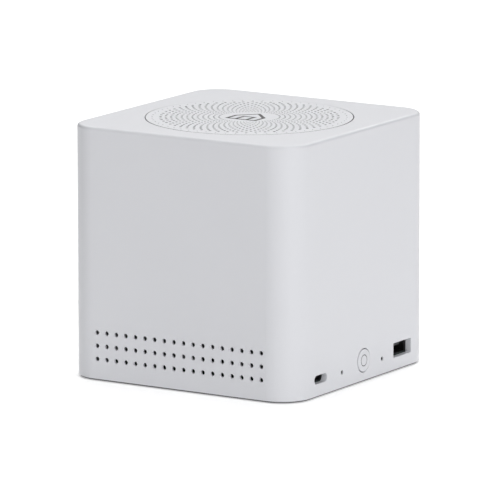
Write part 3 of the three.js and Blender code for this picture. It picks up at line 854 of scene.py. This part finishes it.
cap = turned([
    (0, cap_low.x), (stem_radius, cap_low.x), (stem_radius, flange_back),
    (flange_radius, flange_back), (flange_radius, flange_face), (cap_radius, flange_face),
    (cap_radius, cap_face), (groove_outer, cap_face), (groove_outer, groove_floor),
    (groove_inner, groove_floor), (groove_inner, cap_face), (0, cap_face),
], button_axis, 96)
cap_edge = [
    e for e in cap.edges
    if all(
        v.co.x > cap_face - 0.01 * mm
        and (v.co.yz - button_middle.yz).length > cap_radius - 0.01 * mm for v in e.verts
    )
]
cap = rounded(cap, cap_edge, 0.2 * mm, 4)
button_plastic = finish(
    "white button plastic", moulded(*white_shades, 0.42, 2600, 0.005 * mm), IOR=1.49
)
piece("button_cap", cap, button_plastic, "power_button", "button_plastic", "power_button")

light_guide = finish(
    "smoked light guide",
    moulded((0.03, 0.032, 0.035), (0.045, 0.047, 0.05), 0.3, 2000, 0.003 * mm),
    Coat_Weight=0.3,
)
guide = turned(
    [(2.15 * mm, ring_low.x), (2.45 * mm, ring_low.x), (2.45 * mm, ring_high.x),
     (2.15 * mm, ring_high.x)],
    button_axis, 96,
)
piece(
    "status_ring", softened(guide, 0.05 * mm), light_guide, "power_button", "light_guide",
    "status_light_ring",
)

# ---------------------------------------------------------------------------------------------
# Button retainer and switches: a black plate staked behind the button's flange, and two side
# switches on the board, each a black body with a moulded plunger. A pin through the small hole
# presses the second one.
# ---------------------------------------------------------------------------------------------
retainer_black = finish(
    "black retainer plastic", moulded((0.012,) * 3, (0.02,) * 3, 0.55, 1600, 0.015 * mm)
)
switch_black = finish(
    "black switch plastic", moulded((0.008,) * 3, (0.015,) * 3, 0.5, 2000, 0.008 * mm)
)


def boxed(node, corner=0.15 * mm):
    """A block with softened edges that fills a CAD node's box."""
    low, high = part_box(node)
    return softened(block(high - low, at(*(low + high) / 2)), corner)


def side_bar(node, corner=0.12 * mm):
    """A round bar along X with softened ends that fills a CAD node's box."""
    low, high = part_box(node)
    middle = (low + high) / 2
    place = at(0, middle.y, middle.z) @ towards_x
    return softened(bar((high.z - low.z) / 2, low.x, high.x, place, 40), corner)


retainer_low, retainer_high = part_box("button_retainer")
plate = block(retainer_high - retainer_low, at(*middle_of("button_retainer")))
plate = cut(plate, bar(2.2 * mm, 49 * mm, 51 * mm, button_axis, 48))
for side in (-1, 1):
    hole = at(0, side * stake_offset.y, stake_offset.z) @ button_axis
    plate = cut(plate, bar(1.2 * mm, 49 * mm, 51 * mm, hole, 32))
piece(
    "retainer_plate", softened(plate, 0.1 * mm), retainer_black, "housing", "retainer_plastic",
    "button_retainer",
)
for name, bore, depth in (("power", 1.4 * mm, 2 * mm), ("reset", 0.95 * mm, 1.6 * mm)):
    plunger = f"{name}_switch_plunger"
    middle = middle_of(plunger)
    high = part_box(f"{name}_switch_body")[1]
    way_in = at(high.x, middle.y, middle.z) @ towards_x
    body = softened(
        cut(boxed(f"{name}_switch_body", 0.2 * mm), bar(bore, -depth, mm, way_in, 40)), 0.05 * mm
    )
    piece(
        f"{name}_switch_case", body, switch_black, "housing", "switch_black", f"{name}_switch_body"
    )
    # The reset pin's black face sits just behind its pinhole: painted shade in the hole.
    piece(f"{name}_switch_pin", side_bar(plunger), switch_black, plunger, "switch_black", plunger)

# ---------------------------------------------------------------------------------------------
# Microphone: a small drawn can on the board, with a soft black rubber sleeve that joins it to its
# pinhole in the wall and fills the pinhole with a thin nose. The nose's black at the hole's mouth is
# painted shade for the pinhole.
# ---------------------------------------------------------------------------------------------
can_steel = finish(
    "tinned steel", brushed((0.48, 0.48, 0.5), (0.62, 0.62, 0.64), 0.38, 800), Metallic=1
)
sleeve_rubber = finish(
    "black sleeve rubber", moulded((0.01,) * 3, (0.018,) * 3, 0.75, 1500, 0.01 * mm)
)
piece("microphone_can", boxed("microphone"), can_steel, "housing", "can_steel", "microphone")
sleeve_low, sleeve_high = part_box("microphone_sleeve")
sleeve_axis = at(0, sleeve_middle.y, sleeve_middle.z) @ towards_x
sleeve = turned([
    (0.4 * mm, sleeve_low.x), (1.3 * mm, sleeve_low.x), (1.3 * mm, flange_face),
    (0.7 * mm, flange_face), (0.7 * mm, sleeve_high.x), (0.4 * mm, sleeve_high.x),
], sleeve_axis, 48)
piece(
    "microphone_tube", softened(sleeve, 0.08 * mm), sleeve_rubber, "housing", "grommet_rubber",
    "microphone_sleeve",
)

# ---------------------------------------------------------------------------------------------
# Baffle and chamber: the speaker's black plastic plate, screwed up to the housing's hangers, and
# the open cup below it that holds the air behind the speaker.
# ---------------------------------------------------------------------------------------------
speaker_plastic = finish(
    "black speaker plastic",
    moulded((0.011, 0.011, 0.012), (0.02, 0.02, 0.021), 0.6, 1400, 0.02 * mm),
)
baffle_low, baffle_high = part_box("speaker_baffle")
baffle = block(baffle_high - baffle_low, at(*middle_of("speaker_baffle")), 10 * mm, 12)
baffle = cut(baffle, bar(30.5 * mm, 90 * mm, 100 * mm, sides=96))
for name in corner_names:
    middle = middle_of("baffle_screw_" + name)
    baffle = cut(baffle, bar(1.4 * mm, 90 * mm, 100 * mm, at(middle.x, middle.y, 0), 32))
    bm = threaded_screw(*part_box("baffle_screw_" + name), 2.3 * mm, mm)
    piece(
        "hanger_screw_" + name, bm, screw_steel, "housing", "screw_steel", "baffle_screw_" + name
    )
piece(
    "baffle_plate", softened(baffle, 0.2 * mm), speaker_plastic, "housing", "speaker_plastic",
    "speaker_baffle",
)
chamber_low, chamber_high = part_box("speaker_chamber")
chamber_wall = 2 * mm
lead_entry = middle_of("lead_grommet").z
chamber = block(chamber_high - chamber_low, at(*middle_of("speaker_chamber")), 12 * mm, 12)
bore = chamber_high - chamber_low - Vector((2 * chamber_wall, 2 * chamber_wall, 0))
chamber = cut(
    softened(chamber, mm, 4),
    block(bore, at(0, 0, (chamber_high.z + chamber_low.z) / 2 + chamber_wall), 10 * mm, 12),
    bar(2.4 * mm, chamber_low.x - mm, chamber_low.x + 3 * mm, at(0, 0, lead_entry) @ towards_x, 40),
)
piece("speaker_cup", chamber, speaker_plastic, "housing", "speaker_plastic", "speaker_chamber")

# ---------------------------------------------------------------------------------------------
# Speaker motor and frame: a pressed, black-painted steel frame with four windows, and below it a
# ferrite ring magnet between a turned top plate and a yoke with its pole. Four small screws hold
# the frame's flange to the baffle.
# ---------------------------------------------------------------------------------------------
basket_steel = finish(
    "black-painted steel",
    moulded((0.025, 0.026, 0.028), (0.04, 0.041, 0.043), 0.42, 1200, 0.015 * mm),
)
pole_steel = finish(
    "turned pole steel", brushed((0.3, 0.3, 0.31), (0.42, 0.42, 0.43), 0.35, 600), Metallic=1
)
magnet_ferrite = finish(
    "grey ferrite", moulded((0.03, 0.029, 0.03), (0.05, 0.049, 0.05), 0.7, 1100, 0.02 * mm)
)
flange_screw_at = 32.3 * mm * math.sqrt(0.5)
motor_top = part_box("magnet_yoke")[1].z
motor = at(0, 0, motor_top - 80 * mm)

basket = turned([
    (radius * mm, height * mm) for radius, height in (
        (9.5, 80.3), (20.5, 80.3), (22, 86), (29.8, 97.2), (29.8, 98.7), (34.5, 98.7),
        (34.5, 99.9), (28.9, 99.9), (28.7, 97.5), (20.6, 86), (20.6, 84.6), (18.8, 84.6),
        (18.8, 81.5), (9.5, 81.5),
    )
], motor, 96)
for turn in (0.25, 0.75, 1.25, 1.75):
    place = motor @ Matrix.Rotation(turn * math.pi, 4, "Z") @ at(26 * mm, 0, 91.4 * mm)
    basket = cut(basket, block((12 * mm, 14 * mm, 6 * mm), place))
flange_screws = [
    (name, sx * flange_screw_at, sy * flange_screw_at)
    for name, sx, sy in zip(corner_names, (-1, 1, 1, -1), (-1, -1, 1, 1))
]
for name, x, y in flange_screws:
    basket = cut(basket, bar(1.1 * mm, 97 * mm, 101 * mm, at(x, y, 0), 24))
    bm = threaded_screw(
        motor @ Vector((x, y, 96.2 * mm)), motor @ Vector((x, y, 101.5 * mm)), 1.3 * mm, 0.8 * mm,
        0.8 * mm, False,
    )
    piece("flange_screw_" + name, bm, screw_steel, "housing", "screw_steel")
piece(
    "basket_frame", softened(basket, 0.12 * mm, 1), basket_steel, "housing", "basket_steel",
    "speaker_basket",
)


def washer(inner, low, high):
    """A turned ring that fills a CAD node's box."""
    return turned([(inner, low.z), (high.x, low.z), (high.x, high.z), (inner, high.z)], sides=96)


magnet = softened(washer(9 * mm, *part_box("speaker_magnet")), 0.5 * mm)
piece("ring_magnet", magnet, magnet_ferrite, "housing", "magnet_ferrite", "speaker_magnet")
top_plate = softened(washer(7.4 * mm, *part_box("magnet_top_plate")), 0.2 * mm)
piece("motor_plate", top_plate, pole_steel, "housing", "pole_steel", "magnet_top_plate")
yoke_low, yoke_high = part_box("magnet_yoke")
back_plate_top = yoke_low.z + 3.7 * mm
pole_radius = 6 * mm
yoke = turned([
    (0, yoke_low.z), (yoke_high.x, yoke_low.z), (yoke_high.x, back_plate_top),
    (pole_radius, back_plate_top), (pole_radius, yoke_high.z), (0, yoke_high.z),
], sides=96)
piece("motor_yoke", softened(yoke, 0.25 * mm), pole_steel, "housing", "pole_steel", "magnet_yoke")

# ---------------------------------------------------------------------------------------------
# Cone, dust cap and voice coil: pressed black paper with a paper dome glued over a former wound
# with fine copper wire. They move together.
# ---------------------------------------------------------------------------------------------


def pressed_paper(place):
    """Matted fibres pressed into black pulp."""
    fibres = place.node("Mapping", {"Vector": place, "Scale": (500, 900, 1500)})
    fibre = noise(fibres, 1, 4)
    return {
        "Base Color": shade(fibre, (0.009, 0.009, 0.01), (0.03, 0.03, 0.031)),
        "Roughness": 0.8 + 0.15 * noise(place, 700),
        "Normal": bumps(fibre, 0.05 * mm),
    }


cone_paper = finish("black pulp paper", pressed_paper)
coil_copper = finish(
    "enamelled copper", brushed((0.55, 0.2, 0.08), (0.72, 0.3, 0.13), 0.3, 1200), Metallic=1
)
cone = turned([
    (radius * mm, height * mm) for radius, height in (
        (7.2, 88.5), (7.9, 88.2), (12, 90.5), (16, 93.1), (19.8, 95.7), (23.4, 98.1),
        (23.4, 98.75), (19.5, 96.3), (15.7, 93.8), (11.6, 91.3), (7.2, 89.1),
    )
], motor, 96)
piece(
    "paper_cone", softened(cone, 0.08 * mm), cone_paper, "speaker_cone", "cone_paper",
    "speaker_cone",
)


def dome_outline(rim, low, rise, thickness, steps):
    """An arc through a rim and a crown, with its thickness below it, from the crown's underside."""
    radius = (rim ** 2 + rise ** 2) / (2 * rise)
    reach = [rim * step / steps for step in range(steps + 1)]
    over = [(r, low + rise - radius + math.sqrt(radius ** 2 - r ** 2)) for r in reach]
    return [(r, height - thickness) for r, height in over] + over[::-1]


cap_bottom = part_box("dust_cap")[0].z
dome = turned(
    dome_outline(9.4 * mm, cap_bottom + 0.5 * mm, 2.2 * mm, 0.5 * mm, 12), sides=72
)
piece("paper_dome", dome, cone_paper, "speaker_cone", "cone_paper", "dust_cap")

coil_low, coil_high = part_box("voice_coil")
coil_outline = [(6.35 * mm, coil_low.z)]
wire_pitch = 0.26 * mm
for number in range(25):
    start = coil_low.z + number * wire_pitch
    coil_outline += [(6.86 * mm, start), (6.95 * mm, start + wire_pitch / 2)]
winding_top = coil_low.z + 6.5 * mm
coil_outline += [(6.86 * mm, winding_top), (6.7 * mm, winding_top), (6.7 * mm, coil_high.z)]
coil_outline.append((6.35 * mm, coil_high.z))
piece(
    "coil_winding", turned(coil_outline, sides=72), coil_copper, "speaker_cone", "coil_copper",
    "voice_coil",
)

# ---------------------------------------------------------------------------------------------
# Surround and spider: a half roll of black rubber between the cone's edge and the frame, and a
# corrugated cloth disc that centres the voice coil.
# ---------------------------------------------------------------------------------------------
surround_rubber = finish(
    "black butyl rubber",
    moulded((0.012, 0.012, 0.013), (0.02, 0.02, 0.021), 0.5, 1500, 0.008 * mm),
)
spider_cloth = finish("tan spider cloth", woven((0.16, 0.1, 0.05), (0.32, 0.21, 0.11)))
roll_middle, roll_radius, roll_base, roll_thick = 26.3 * mm, 2.7 * mm, 100.05 * mm, 0.5 * mm
lip_low = 98.85 * mm
lip_inner = 21.9 * mm
lip_outer = 33.2 * mm


def roll_arc(radius, steps=16):
    angles = [math.pi * step / steps for step in range(steps + 1)]
    return [
        (roll_middle - radius * math.cos(angle), roll_base + radius * math.sin(angle))
        for angle in angles
    ]


roll = turned([
    (lip_inner, lip_low), (roll_middle - roll_radius + roll_thick / 2, lip_low),
    *roll_arc(roll_radius - roll_thick / 2), (lip_outer, roll_base),
    (lip_outer, roll_base + roll_thick),
    (roll_middle + roll_radius + roll_thick / 2, roll_base + roll_thick),
    *roll_arc(roll_radius + roll_thick / 2)[1:-1][::-1],
    (roll_middle - roll_radius - roll_thick / 2, lip_low + roll_thick),
    (lip_inner, lip_low + roll_thick),
], motor, 96)
for name, x, y in flange_screws:
    roll = cut(roll, bar(mm, 98 * mm, 102 * mm, at(x, y, 0), 24))
surround = piece(
    "surround_roll", roll, surround_rubber, None, "surround_rubber", "surround"
)
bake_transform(surround)

spider_inner, spider_outer, spider_thick = 7 * mm, 20.2 * mm, 0.4 * mm
spider_under = []
for step in range(41):
    share = step / 40
    height = 84.95 * mm + 1.9 * mm * (1 - share) + 0.3 * mm * math.sin(8 * math.pi * share)
    spider_under.append((spider_inner + share * (spider_outer - spider_inner), height))
spider_over = [(radius, height + spider_thick) for radius, height in spider_under[::-1]]
centring = piece(
    "spider_disc", turned(spider_under + spider_over, motor, 96), spider_cloth, None,
    "spider_cloth", "spider",
)
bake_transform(centring)

# ---------------------------------------------------------------------------------------------
# Gasket and terminal: a ring of soft foam between the surround's lip and the roof, and a small
# fibre board riveted to the frame, where the lead is soldered.
# ---------------------------------------------------------------------------------------------
gasket_foam = finish(
    "black gasket foam", moulded((0.01,) * 3, (0.022,) * 3, 0.92, 1300, 0.12 * mm)
)
terminal_board = finish(
    "brown fibre board", moulded((0.12, 0.06, 0.03), (0.17, 0.09, 0.05), 0.6, 1200, 0.02 * mm)
)
gasket = softened(washer(30 * mm, *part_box("speaker_gasket")), 0.15 * mm)
piece("foam_gasket", gasket, gasket_foam, "housing", "gasket_foam", "speaker_gasket")
piece(
    "solder_terminal", boxed("speaker_terminal"), terminal_board, "housing", "terminal_board",
    "speaker_terminal",
)

# ---------------------------------------------------------------------------------------------
# Speaker lead: two thin jacketed wires side by side, out through a rubber grommet in the cup's
# wall and down to a plug in its socket on the board.
# ---------------------------------------------------------------------------------------------
lead_route = (
    (-27.8, 0, 89.3), (-33, 0, 88.3), (-39, 0, 88), (-44, 0, 88), (-47.3, 0, 84),
    (-47.6, 0, 76), (-47.6, 0, 60), (-47.6, 0, 46), (-45, 1, 37), (-38, 5, 30), (-32, 9, 22),
    (-30, 10, 13.4),
)
connector_plastic = finish(
    "ivory connector plastic",
    moulded((0.6, 0.57, 0.5), (0.68, 0.65, 0.58), 0.45, 1800, 0.008 * mm),
)
wire_radius = 0.42 * mm
jackets = (("plus", (0.3, 0.012, 0.01), (0.4, 0.02, 0.015)), ("minus", (0.01,) * 3, (0.02,) * 3))
for number, (name, dark, light) in enumerate(jackets):
    offset = (2 * number - 1) * 0.45 * mm
    path = bpy.data.curves.new("wire", "CURVE")
    path.dimensions = "3D"
    path.bevel_depth = wire_radius
    path.bevel_resolution = 3
    path.resolution_u = 6
    path.use_fill_caps = True
    spline = path.splines.new("BEZIER")
    spline.bezier_points.add(len(lead_route) - 1)
    for point, (x, y, z) in zip(spline.bezier_points, lead_route):
        point.co = (x * mm, y * mm + offset, (z - 88) * mm + lead_entry)
        point.handle_left_type = point.handle_right_type = "AUTO"
    drawn = bpy.data.objects.new("wire", path)
    bpy.context.scene.collection.objects.link(drawn)
    bpy.context.view_layer.update()
    bm = bmesh.new()
    bm.from_mesh(drawn.evaluated_get(bpy.context.evaluated_depsgraph_get()).to_mesh())
    bmesh.ops.remove_doubles(bm, verts=bm.verts, dist=1e-7)
    bmesh.ops.recalc_face_normals(bm, faces=bm.faces)
    bpy.data.objects.remove(drawn)
    bpy.data.curves.remove(path)
    jacket = finish(f"{name} wire jacket", moulded(dark, light, 0.45, 1500, 0.006 * mm))
    nodes = ("speaker_lead",) if number == 0 else ()
    piece("lead_wire_" + name, bm, jacket, "housing", "lead_jacket", *nodes)

grommet = turned([
    (radius * mm, height * mm) for radius, height in (
        (1.3, -43.2), (3.4, -43.2), (3.4, -42.3), (2.1, -42.3), (2.1, -39), (1.3, -39),
    )
], at(0, 0, lead_entry) @ towards_x, 48)
piece(
    "wall_grommet", softened(grommet, 0.15 * mm), sleeve_rubber, "housing", "grommet_rubber",
    "lead_grommet",
)
piece(
    "lead_connector", boxed("lead_plug", 0.25 * mm), connector_plastic, "housing",
    "connector_plastic", "lead_plug",
)
socket_low, socket_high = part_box("board_socket")
header_middle = (socket_low + socket_high) / 2
header = cut(
    block(socket_high - socket_low, at(*header_middle)),
    block((6 * mm, 8 * mm, 5 * mm), at(header_middle.x, header_middle.y, socket_high.z - 1.5 * mm)),
)
piece(
    "board_header", softened(header, 0.12 * mm), connector_plastic, "housing",
    "connector_plastic", "board_socket",
)

# ---------------------------------------------------------------------------------------------
# Main board: a green glass-fibre board on the cover's standoffs, held by four small screws. It
# carries the processor under its heat sink, memory, two shielded radios, the supply's coil and
# capacitor, and the antenna strip.
# ---------------------------------------------------------------------------------------------


def printed_board(place):
    """Green mask over copper tracks, in blocks that run both ways, with tinned pads."""
    tracks = place.node(
        "TexBrick",
        {"Vector": place, "Color1": (1, 1, 1, 1), "Color2": (0.6, 0.6, 0.6, 1),
         "Mortar": (0, 0, 0, 1), "Scale": 420, "Mortar Size": 0.035, "Brick Width": 0.9,
         "Row Height": 0.45},
        output=1,
    )
    pads = place.node("TexVoronoi", {"Vector": place, "Scale": 260}, feature="F1") < 0.16
    base = shade(tracks, (0.012, 0.075, 0.035), (0.02, 0.13, 0.055))
    mixed = base.node(
        "Mix", {0: pads, 6: base, 7: (0.55, 0.56, 0.58, 1)}, output=2, data_type="RGBA"
    )
    return {
        "Base Color": mixed,
        "Roughness": 0.32 + 0.12 * noise(place, 900),
        "Metallic": pads * 0.9,
        "Normal": bumps(tracks + pads, 0.02 * mm),
    }


board_laminate = finish("green board laminate", printed_board, Coat_Weight=0.2)
board_low, board_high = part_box("main_board")
board = block(board_high - board_low, at(*middle_of("main_board")))
board = cut(
    board,
    block((7 * mm, 18.8 * mm, 20 * mm), at(51.9 * mm, button_middle.y, board_high.z)),
)
for name in board_screw_names:
    middle = middle_of(name)
    board = cut(board, bar(1.1 * mm, 0, 20 * mm, at(middle.x, middle.y, 0), 32))
    bm = threaded_screw(*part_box(name), 1.9 * mm, 0.8 * mm, mm, False)
    piece(
        "board_fixing_" + name[-1], bm, screw_steel, "housing", "screw_steel", name
    )
piece(
    "circuit_board", softened(board, 0.06 * mm, 1), board_laminate, "housing", "board_laminate",
    "main_board",
)

chip_epoxy = finish(
    "black chip epoxy", moulded((0.008,) * 3, (0.014,) * 3, 0.5, 2600, 0.01 * mm)
)
heat_sink_aluminium = finish(
    "extruded aluminium", brushed((0.6, 0.61, 0.63), (0.74, 0.75, 0.77), 0.34, 700), Metallic=1
)
capacitor_can = finish(
    "drawn aluminium can", brushed((0.5, 0.51, 0.53), (0.64, 0.65, 0.67), 0.28, 500), Metallic=1
)
antenna_copper = finish(
    "gilt antenna brass", brushed((0.55, 0.4, 0.16), (0.7, 0.52, 0.24), 0.33, 700), Metallic=1
)
for node, name in (("processor", "processor_package"), ("memory_chip", "memory_package")):
    piece(name, boxed(node), chip_epoxy, "housing", "chip_epoxy", node)
for node in ("radio_can_wide_area", "radio_can_short_range"):
    piece(node + "_cover", boxed(node, 0.3 * mm), can_steel, "housing", "can_steel", node)
piece(
    "supply_coil", boxed("power_inductor", 0.5 * mm), magnet_ferrite, "housing",
    "inductor_ferrite", "power_inductor",
)

sink_low, sink_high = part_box("heat_sink")
sink_middle = (sink_low + sink_high) / 2
sink = block(sink_high - sink_low, at(*sink_middle))
slots = [
    block((40 * mm, 2.4 * mm, 9 * mm),
          at(sink_middle.x, sink_middle.y + step * 4 * mm, sink_low.z + 6.5 * mm))
    for step in range(-3, 4)
]
sink = softened(cut(sink, gathered(*slots)), 0.12 * mm)
piece("finned_sink", sink, heat_sink_aluminium, "housing", "heat_sink_aluminium", "heat_sink")

can_low, can_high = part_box("supply_capacitor")
can_radius = (can_high.x - can_low.x) / 2
can_middle = middle_of("supply_capacitor")
can = turned([
    (0, can_low.z), (can_radius, can_low.z), (can_radius, can_low.z + 1.1 * mm),
    (can_radius * 0.9, can_low.z + 1.4 * mm), (can_radius, can_low.z + 1.7 * mm),
    (can_radius, can_high.z), (0, can_high.z),
], at(can_middle.x, can_middle.y, 0), 64)
piece(
    "smoothing_can", softened(can, 0.2 * mm, 3), capacitor_can, "housing", "capacitor_can",
    "supply_capacitor",
)

strip_low, strip_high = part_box("antenna_rear")
strip_thick = 0.5 * mm
strip_middle = (strip_low + strip_high) / 2
strip = block(
    (strip_high.x - strip_low.x, strip_high.y - strip_low.y, strip_thick),
    at(strip_middle.x, strip_middle.y, strip_high.z - strip_thick / 2),
)
for start, width in ((0, 3 * mm), (6 * mm, 1.5 * mm)):
    leg = at(strip_low.x + strip_thick / 2, strip_low.y + start + width / 2, strip_middle.z)
    strip = joined(strip, block((strip_thick, width, strip_high.z - strip_low.z), leg))
piece(
    "antenna_strip", softened(strip, 0.08 * mm), antenna_copper, "housing", "antenna_copper",
    "antenna_rear",
)

# ---------------------------------------------------------------------------------------------
# Floor and light: a white acrylic sweep that glows a little, under four soft boxes. A narrow one
# stands off the corner between the vents and the sockets, a wide one hangs overhead, one stands
# behind, and a small weak one is close to the face with the vents.
# ---------------------------------------------------------------------------------------------
floor_reach = 6
floor_glow = 0.325
floor_mesh = bmesh.new()
bmesh.ops.create_grid(floor_mesh, x_segments=1, y_segments=1, size=floor_reach)
floor_data = bpy.data.meshes.new("floor")
floor_mesh.to_mesh(floor_data)
floor_mesh.free()
floor = bpy.data.objects.new("floor", floor_data)
bpy.context.scene.collection.objects.link(floor)
floor_data.materials.append(finish(
    "white sweep", lambda place: {"Base Color": shade(noise(place, 3), (0.9,) * 3, (0.92,) * 3)},
    Roughness=0.9, Emission_Color=(1, 1, 1, 1), Emission_Strength=floor_glow,
))

soft_boxes = (
    # name, azimuth, elevation, distance, width, height, watts
    ("key", 60, 22, 2.2, 0.25, 1.2, 18.8),
    ("overhead", 32, 88, 2.0, 2.4, 2.4, 32.2),
    ("front", -20, 34, 0.45, 0.2, 0.2, 0.08),
    ("behind", 207, 36, 2.4, 1.8, 1.2, 24.5),
)
hub_middle = Vector((0, 0, hub_height / 2))
for name, azimuth, elevation, distance, width, height, watts in soft_boxes:
    lamp = bpy.data.lights.new(name, "AREA")
    lamp.shape = "RECTANGLE"
    lamp.size = width
    lamp.size_y = height
    lamp.energy = watts
    box = bpy.data.objects.new(name, lamp)
    bpy.context.scene.collection.objects.link(box)
    around, above = math.radians(azimuth), math.radians(elevation)
    outwards = Vector((
        math.sin(around) * math.cos(above), -math.cos(around) * math.cos(above), math.sin(above)
    ))
    turn = outwards.to_track_quat("Z", "Y").to_matrix().to_4x4()
    box.matrix_world = Matrix.Translation(hub_middle + outwards * distance) @ turn

world = bpy.data.worlds.new("dim studio")
world.use_nodes = True
world.node_tree.nodes["Background"].inputs["Color"].default_value = (1, 1, 1, 1)
world.node_tree.nodes["Background"].inputs["Strength"].default_value = 0.02
bpy.context.scene.world = world
bpy.context.scene.view_settings.view_transform = "Standard"
